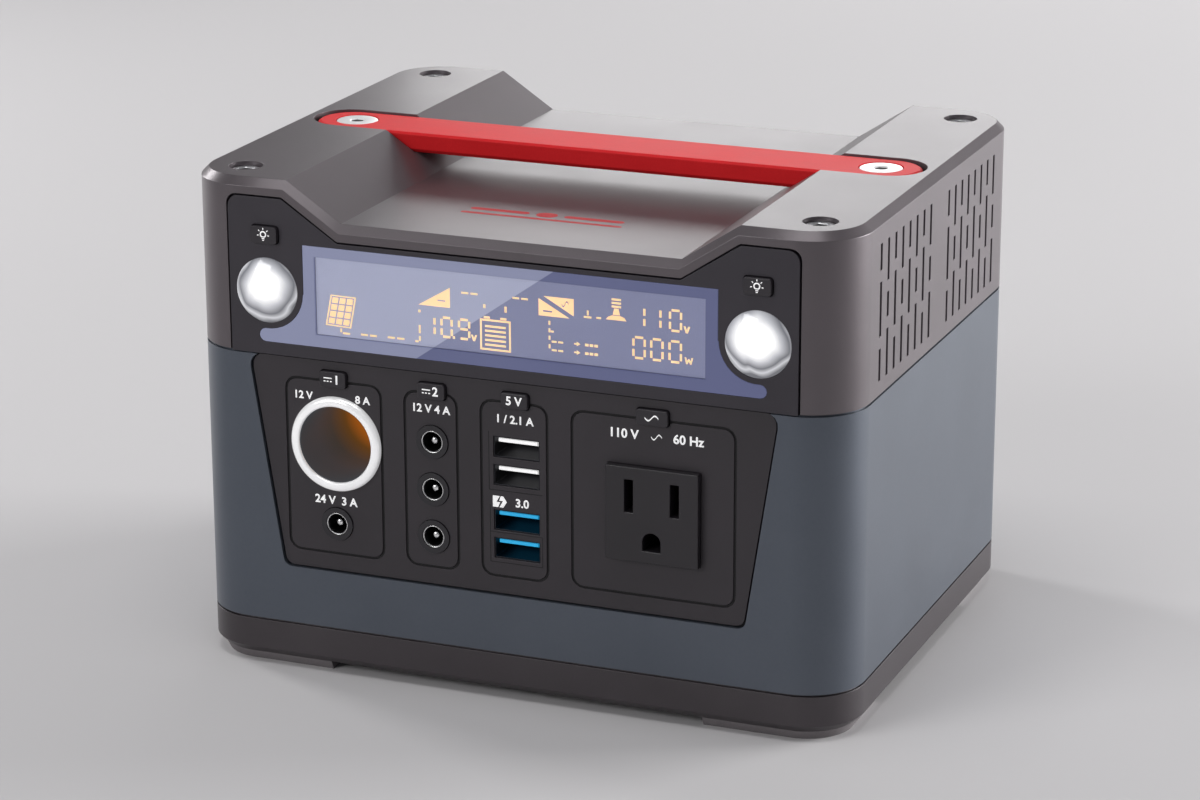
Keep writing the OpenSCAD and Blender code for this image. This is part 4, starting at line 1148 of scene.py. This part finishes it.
wedge_sign = [(-25.3, 107.2), (-16.3, 107.2), (-16.3, 112.6)]
display_signs = (
    solar_sign() + battery_sign() + converter_sign() + lamp_post_sign() + branch_sign()
    + [bar(-48.0, 98.2, -48.0, 97.2, 0.5)] + dashes(-47.5, -45.4, 97.0, 1)
    + dashes(-42.2, -37.6, 97.2) + dashes(-34.4, -29.6, 97.3)
    + [bar(-25.1, 97.3, -25.1, 98.6, 0.5), bar(-25.1, 99.4, -25.1, 101.6, 0.5)]
    + [bar(-25.1, 105.1, -25.1, 105.8, 0.6)] + dashes(-26.4, -25.5, 97.1, 1)
    + [wedge_sign, bar(-19.9, 108.9, -17.6, 108.9, 0.4)]
    + dashes(-13.0, -8.4, 111.7) + dashes(1.5, 5.8, 111.8)
    + [bar(-6.5, 108.2, -6.5, 109.2, 0.6), bar(-0.5, 107.6, -0.5, 109.2, 0.6)]
    + dashes(21.4, 23.5, 108.8, 1) + [bar(22.5, 109.3, 22.5, 110.6, 0.5)]
    + dashes(24.9, 26.2, 108.9, 1)
    + digit("1", -23.6, 99.2, 2.8, 5.2) + digit("0", -18.8, 99.2, 2.9, 5.2)
    + [bar(-15.3, 98.9, -15.3, 99.6, 0.6)]
    + digit("9", -13.8, 99.2, 2.9, 5.2) + letter_v(-10.4, 98.9, 1.7)
    + number("11", (35.0, 39.4), 107.7, 3.1, 5.4) + digit("0", 45.1, 107.7, 3.0, 5.4)
    + letter_v(48.8, 107.4, 1.8)
    + number("000", (35.1, 40.0, 45.0), 99.4, 3.1, 5.5) + letter_w(49.1, 99.2, 1.8)
)
sign_h = 0.05
put(
    flat_shape("display_signs", display_signs, lcd_front - sign_h, sign_h + 0.05), "display_signs",
    "casing", amber_segments,
)

# ------------------------------------------------------------------ lamps and their buttons
# Two domed polycarbonate lenses over moulded reflectors, vacuum-metallised, each with a white
# LED at its focus. A printed bulb marks the button above each lamp.

lens_low, lens_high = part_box("lamp_lenses")
lamp_r = (lens_high.z - lens_low.z) / 2 / MM
lamp_x = lens_high.x / MM - lamp_r
lamp_z = (lens_low.z + lens_high.z) / 2 / MM


def lens_painted_glow_and_reflections():
    """A clear dome with a painted glow in the middle and painted reflector reflections as grey rings at its
    rim
    """
    material, tree, place = new_material("polycarbonate_dome_painted_glow_and_reflections")
    parts = add_node(tree, "ShaderNodeSeparateXYZ", links={"Vector": place}).outputs
    across = maths(tree, "SUBTRACT", maths(tree, "ABSOLUTE", parts["X"]), lamp_x * MM)
    up = maths(tree, "SUBTRACT", parts["Z"], (lamp_z + 1.6) * MM)
    flat = add_node(tree, "ShaderNodeCombineXYZ", links={"X": across, "Y": up})
    reach = add_node(
        tree, "ShaderNodeVectorMath", {"operation": "LENGTH"}, links={0: flat.outputs[0]},
    ).outputs["Value"]
    # Painted reflections: swirls that wobble the grey rings.
    reflection_swirl = noise(tree, place, 9, Detail=0.5, Distortion=0.8)
    uneven = maths(tree, "MULTIPLY_ADD", reflection_swirl, 4.0 * MM, reach)
    shade = ramp(tree, maths(tree, "DIVIDE", uneven, (lamp_r + 3.3) * MM), [
        (0.0, "#ffffff"), (0.5, "#ffffff"), (0.66, "#b9babf"), (0.8, "#6f7076"), (0.9, "#c9cace"),
        (1.0, "#6d6e73"),
    ])
    return surfaced(
        material,
        {
            "Roughness": 0.08, "IOR": 1.58, "Coat Weight": 0.5, "Coat Roughness": 0.05,
            "Emission Strength": 0.55,
        },
        {"Base Color": shade, "Emission Color": shade},
    )


reflector_chrome = metal("vacuum_metallised_abs", "#eeeef0", "#d8d8dc", 0.08)
led_phosphor = skin("lit_led_phosphor", "#fff6d8", "#ffefc0", 0.4, glow=2.0)
rounded_copy("lamp_lenses", lens_painted_glow_and_reflections(), 0.3, angle=50)
rounded_copy("lamp_reflectors", reflector_chrome, 0.1)
rounded_copy("lamp_leds", led_phosphor, 0.2)

lamp_button_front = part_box("lamp_button_left")[0].y / MM


def bulb_sign(x, z):
    """A small bulb with its base and five rays"""
    glass = [arc(x, z + 0.2, 0.95, -60, 240, 16), arc(x, z + 0.2, 0.6, -60, 240, 16)]
    base = [
        bar(x - 0.4, z - 0.95, x + 0.4, z - 0.95, 0.26), bar(x - 0.28, z - 1.4, x + 0.28, z - 1.4, 0.24),
    ]
    rays = []
    for turn in (-10, 40, 90, 140, 190):
        dx, dz = math.cos(math.radians(turn)), math.sin(math.radians(turn))
        rays.append(bar(x + 1.3 * dx, z + 0.2 + 1.3 * dz, x + 1.8 * dx, z + 0.2 + 1.8 * dz, 0.26))
    return glass + base + rays


for name in ("lamp_button_left", "lamp_button_right"):
    low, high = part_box(name)
    rounded_copy(name, black_button, 0.35, body=name)
    printed(
        [], bulb_sign((low.x + high.x) / 2 / MM, (low.z + high.z) / 2 / MM), lamp_button_front,
        name + "_print", name,
    )

# ------------------------------------------------------------------ upper casing and fans
# Injection-moulded ABS hood in a metallic gunmetal paint, with two horns that carry the handle
# and slots in both side walls. Two axial fans blow out through the right-hand slots.

hood_paint = skin(
    "metallic_gunmetal_paint", "#686165", "#625c5f", 0.36, metallic=0.5, grain=0.25, relief=0.012, coat=0.15,
)
rounded_copy("upper_casing", hood_paint, 0.45)

deck_stripe_ink = skin("red_pad_printed_ink", "#c8262c", "#b52026", 0.5, grain=0.2, relief=0.005)
deck_top = 126.5
stripe_y = 90.0


def rounded_bar(x, y, width, height, steps=6):
    """A bar's outline with round ends, its middle at x and y"""
    half, r = width / 2 - height / 2, height / 2
    return arc(x + half, y, r, -90, 90, steps) + arc(x - half, y, r, 90, 270, steps)


stripes = flat_shape("deck_stripes", [
    rounded_bar(-14.5, 46.2, 17, 2.2), rounded_bar(12.5, 46.2, 17, 2.2), rounded_bar(-1.0, 46.2, 6, 4.4),
    rounded_bar(-1.0, 41.8, 46, 1.5),
], 0, 0.16)
stripes.transform(
    Matrix.Translation(millimetres(0, -stripe_y, deck_top + 0.02))
    @ Matrix.Rotation(math.radians(-90), 4, "X")
)
put(stripes, "deck_stripes", "casing", deck_stripe_ink)

fan_plastic = skin("black_glass_filled_pbt", "#26262a", "#1d1d21", 0.55, grain=0.5, relief=0.02)
rounded_copy("fan_frames", fan_plastic, 0.3)


def ring_tree():
    """Copies of a shape turned evenly about the X axis"""
    tree, given = new_tree("turned_about_x", {"Blades": "Int", "Turn": "Float", "Centre": "Vector"})
    line = add_node(
        tree, "GeometryNodeMeshLine", values={"Offset": (0.0, 0.0, 0.0)},
        links={"Count": given["Blades"], "Start Location": given["Centre"]},
    )
    number = add_node(tree, "GeometryNodeInputIndex")
    angle = add_node(
        tree, "ShaderNodeMath", {"operation": "MULTIPLY"}, links={0: number.outputs[0], 1: given["Turn"]},
    )
    euler = add_node(tree, "ShaderNodeCombineXYZ", links={"X": angle.outputs[0]})
    turn = add_node(tree, "FunctionNodeEulerToRotation", links={"Euler": euler.outputs[0]})
    blades = add_node(
        tree, "GeometryNodeInstanceOnPoints",
        links={"Points": line.outputs["Mesh"], "Instance": given["Shape"], "Rotation": turn.outputs[0]},
    )
    return end_tree(tree, given, blades.outputs["Instances"])


turned_about_x = ring_tree()
blade_count = 7
hub_r = 8.9
blade_tip_r = 17.7


def blade_shape(root_r, tip_r, half_depth):
    """One swept and twisted fan blade, standing along Z, its axis along X"""
    steps_out, steps_across, thickness = 6, 6, 0.9
    corners = []
    for face in (-1, 1):
        for i in range(steps_out + 1):
            out = i / steps_out
            radius = root_r + (tip_r - root_r) * out
            pitch = math.radians(48 - 20 * out)
            chord = 9.0 + 3.5 * out
            for j in range(steps_across + 1):
                along = (j / steps_across - 0.5) * chord
                camber = 1.0 * (1 - (2 * j / steps_across - 1) ** 2)
                x = along * math.sin(pitch) * 0.8 + camber + face * thickness / 2 * (1 - 0.5 * out)
                x = max(-half_depth, min(half_depth, x))
                sweep = (along * math.cos(pitch)) / radius + math.radians(12) * out
                corners.append((x * MM, -radius * math.sin(sweep) * MM, radius * math.cos(sweep) * MM))
    wide, layer = steps_across + 1, (steps_out + 1) * (steps_across + 1)
    faces = []
    for i in range(steps_out):
        for j in range(steps_across):
            a = i * wide + j
            faces.append((a, a + 1, a + wide + 1, a + wide))
            faces.append((a + layer + wide, a + layer + wide + 1, a + layer + 1, a + layer))
    rim = list(range(wide)) + [i * wide + steps_across for i in range(1, steps_out + 1)]
    rim += [steps_out * wide + j for j in range(steps_across - 1, -1, -1)]
    rim += [i * wide for i in range(steps_out - 1, 0, -1)]
    faces += [(a, a + layer, b + layer, b) for a, b in zip(rim, rim[1:] + rim[:1])]
    return solid("blade", corners, faces)


for name in ("fan_rotor_front", "fan_rotor_rear"):
    low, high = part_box(name)
    centre = (low + high) / 2
    half_depth = (high.x - low.x) / 2 / MM
    hub = turned("hub", [
        (0, -half_depth), (1.0, -half_depth), (1.0, -half_depth + 0.8), (hub_r - 0.5, -half_depth + 0.8),
        (hub_r, -half_depth + 1.4), (hub_r, half_depth - 0.9), (hub_r - 0.6, half_depth - 0.3),
        (2.0, half_depth - 0.3), (1.6, half_depth - 0.7), (0, half_depth - 0.7),
    ], 48)
    hub.transform(Matrix.Translation(centre) @ Matrix.Rotation(math.radians(90), 4, "Y"))
    blades = grown(
        blade_shape(hub_r - 0.3, blade_tip_r, half_depth - 0.4), turned_about_x, fan_plastic,
        blades=blade_count, turn=2 * math.pi / blade_count, centre=list(centre),
    )
    put(joined(name + "_piece", [hub, blades]), name + "_piece", name, fan_plastic, (name,))

# ------------------------------------------------------------------ handle and screws
# Flat bar of die-cast aluminium in a red powder coat, its round ends dropped into the horns'
# slots and held by two white flat-head screws. Four socket-head screws close the casing.

red_coat = skin("red_powder_coat", "#e62026", "#d8191f", 0.48, grain=0.6, relief=0.015, shine=0.2)
rounded_copy("handle", red_coat, 1.5, segments=5)


def screw_shape(name, head_r, head_h, socket_r, socket_depth, edge, shank_r, length):
    """A screw with a hexagon socket, its head's top at height 0"""
    return turned(name, [
        (0, -socket_depth), (socket_r, -socket_depth, "hexagon"), (socket_r, -0.25, "hexagon"),
        (socket_r + 0.3, 0), (head_r - edge * 1.4, 0), (head_r - edge * 0.4, -edge * 0.35), (head_r, -edge),
        (head_r, -head_h + 0.2), (head_r - 0.2, -head_h), (shank_r, -head_h), (shank_r, -length + 0.6),
        (shank_r - 0.6, -length), (0, -length),
    ], 48)


def at_corners(node, piece_name, shape, radius, level, rows, material):
    """A shape of a radius in the corners, or at the two ends, of a node's box, at a level in it"""
    low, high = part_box(node)
    inset = radius * MM
    mesh = grown(
        shape, columns_and_rows, material, columns=2, column_step=[high.x - low.x - 2 * inset, 0, 0],
        rows=rows, row_step=[0, high.y - low.y - 2 * inset, 0],
        first=[low.x + inset, low.y + inset, level],
    )
    put(mesh, piece_name, "casing", replaces=(node,))


screw_bright = metal("nickel_plated_screw_steel", "#e6e6e8", "#cfcfd2", 0.36)
white_enamel = skin("white_baked_enamel", "#f6f6f6", "#eaeaea", 0.25, grain=0.8, relief=0.004, coat=0.5)
casing_head_r = 4.35
handle_head_r = 5.9
shank_r = 2.5
for node, rows, head_r, head_h, socket_r, socket_depth, edge, slot, material in (
    ("casing_screws", 2, casing_head_r, 5.0, 2.35, 2.8, 0.6, "screw_steel", screw_bright),
    ("handle_screws", 1, handle_head_r, 2.1, 1.9, 1.9, 0.3, "screw_white", white_enamel),
):
    low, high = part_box(node)
    length = (high.z - low.z) / MM
    screw = screw_shape(node + "_screw", head_r, head_h, socket_r, socket_depth, edge, shank_r, length)
    at_corners(node, node + "_piece", screw, head_r, high.z, rows, material)

# Black hexagon fills low in the sockets: painted shadow that draws them dark.
socket_shadow_fill = skin("painted_socket_shadow", "#0b0b0c", "#060607", 0.6, grain=0.5, relief=0.01)
plug_top = -0.35
for node, rows, head_r, plug_r, plug_floor in (
    ("handle_screws", 1, handle_head_r, 1.86, -1.89), ("casing_screws", 2, casing_head_r, 2.3, -2.79),
):
    plug = turned(node + "_plug", [
        (0, plug_floor), (plug_r, plug_floor, "hexagon"), (plug_r, plug_top, "hexagon"), (0, plug_top),
    ], 48)
    at_corners(node, node + "_socket_shadows", plug, head_r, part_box(node)[1].z, rows, socket_shadow_fill)


def insert_shape(height):
    """A knurled threaded insert, its foot at height 0"""
    bore, neck, body = 2.55, 3.1, insert_r
    return turned("insert", [
        (bore, 0), (3.2, 0), (body, 0.4, "knurl"), (body, height * 0.42, "knurl"), (neck, height * 0.45),
        (neck, height * 0.55), (body, height * 0.58, "knurl"), (body, height - 0.4, "knurl"),
        (3.2, height), (bore, height),
    ], 48, ring=True)


insert_brass = metal("machined_insert_brass", "#d9b062", "#c0964a", 0.3)
insert_r = 3.5
for node, rows in (("casing_inserts", 2), ("handle_inserts", 1)):
    low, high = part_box(node)
    shape = insert_shape((high.z - low.z) / MM)
    at_corners(node, node + "_piece", shape, insert_r, low.z, rows, insert_brass)
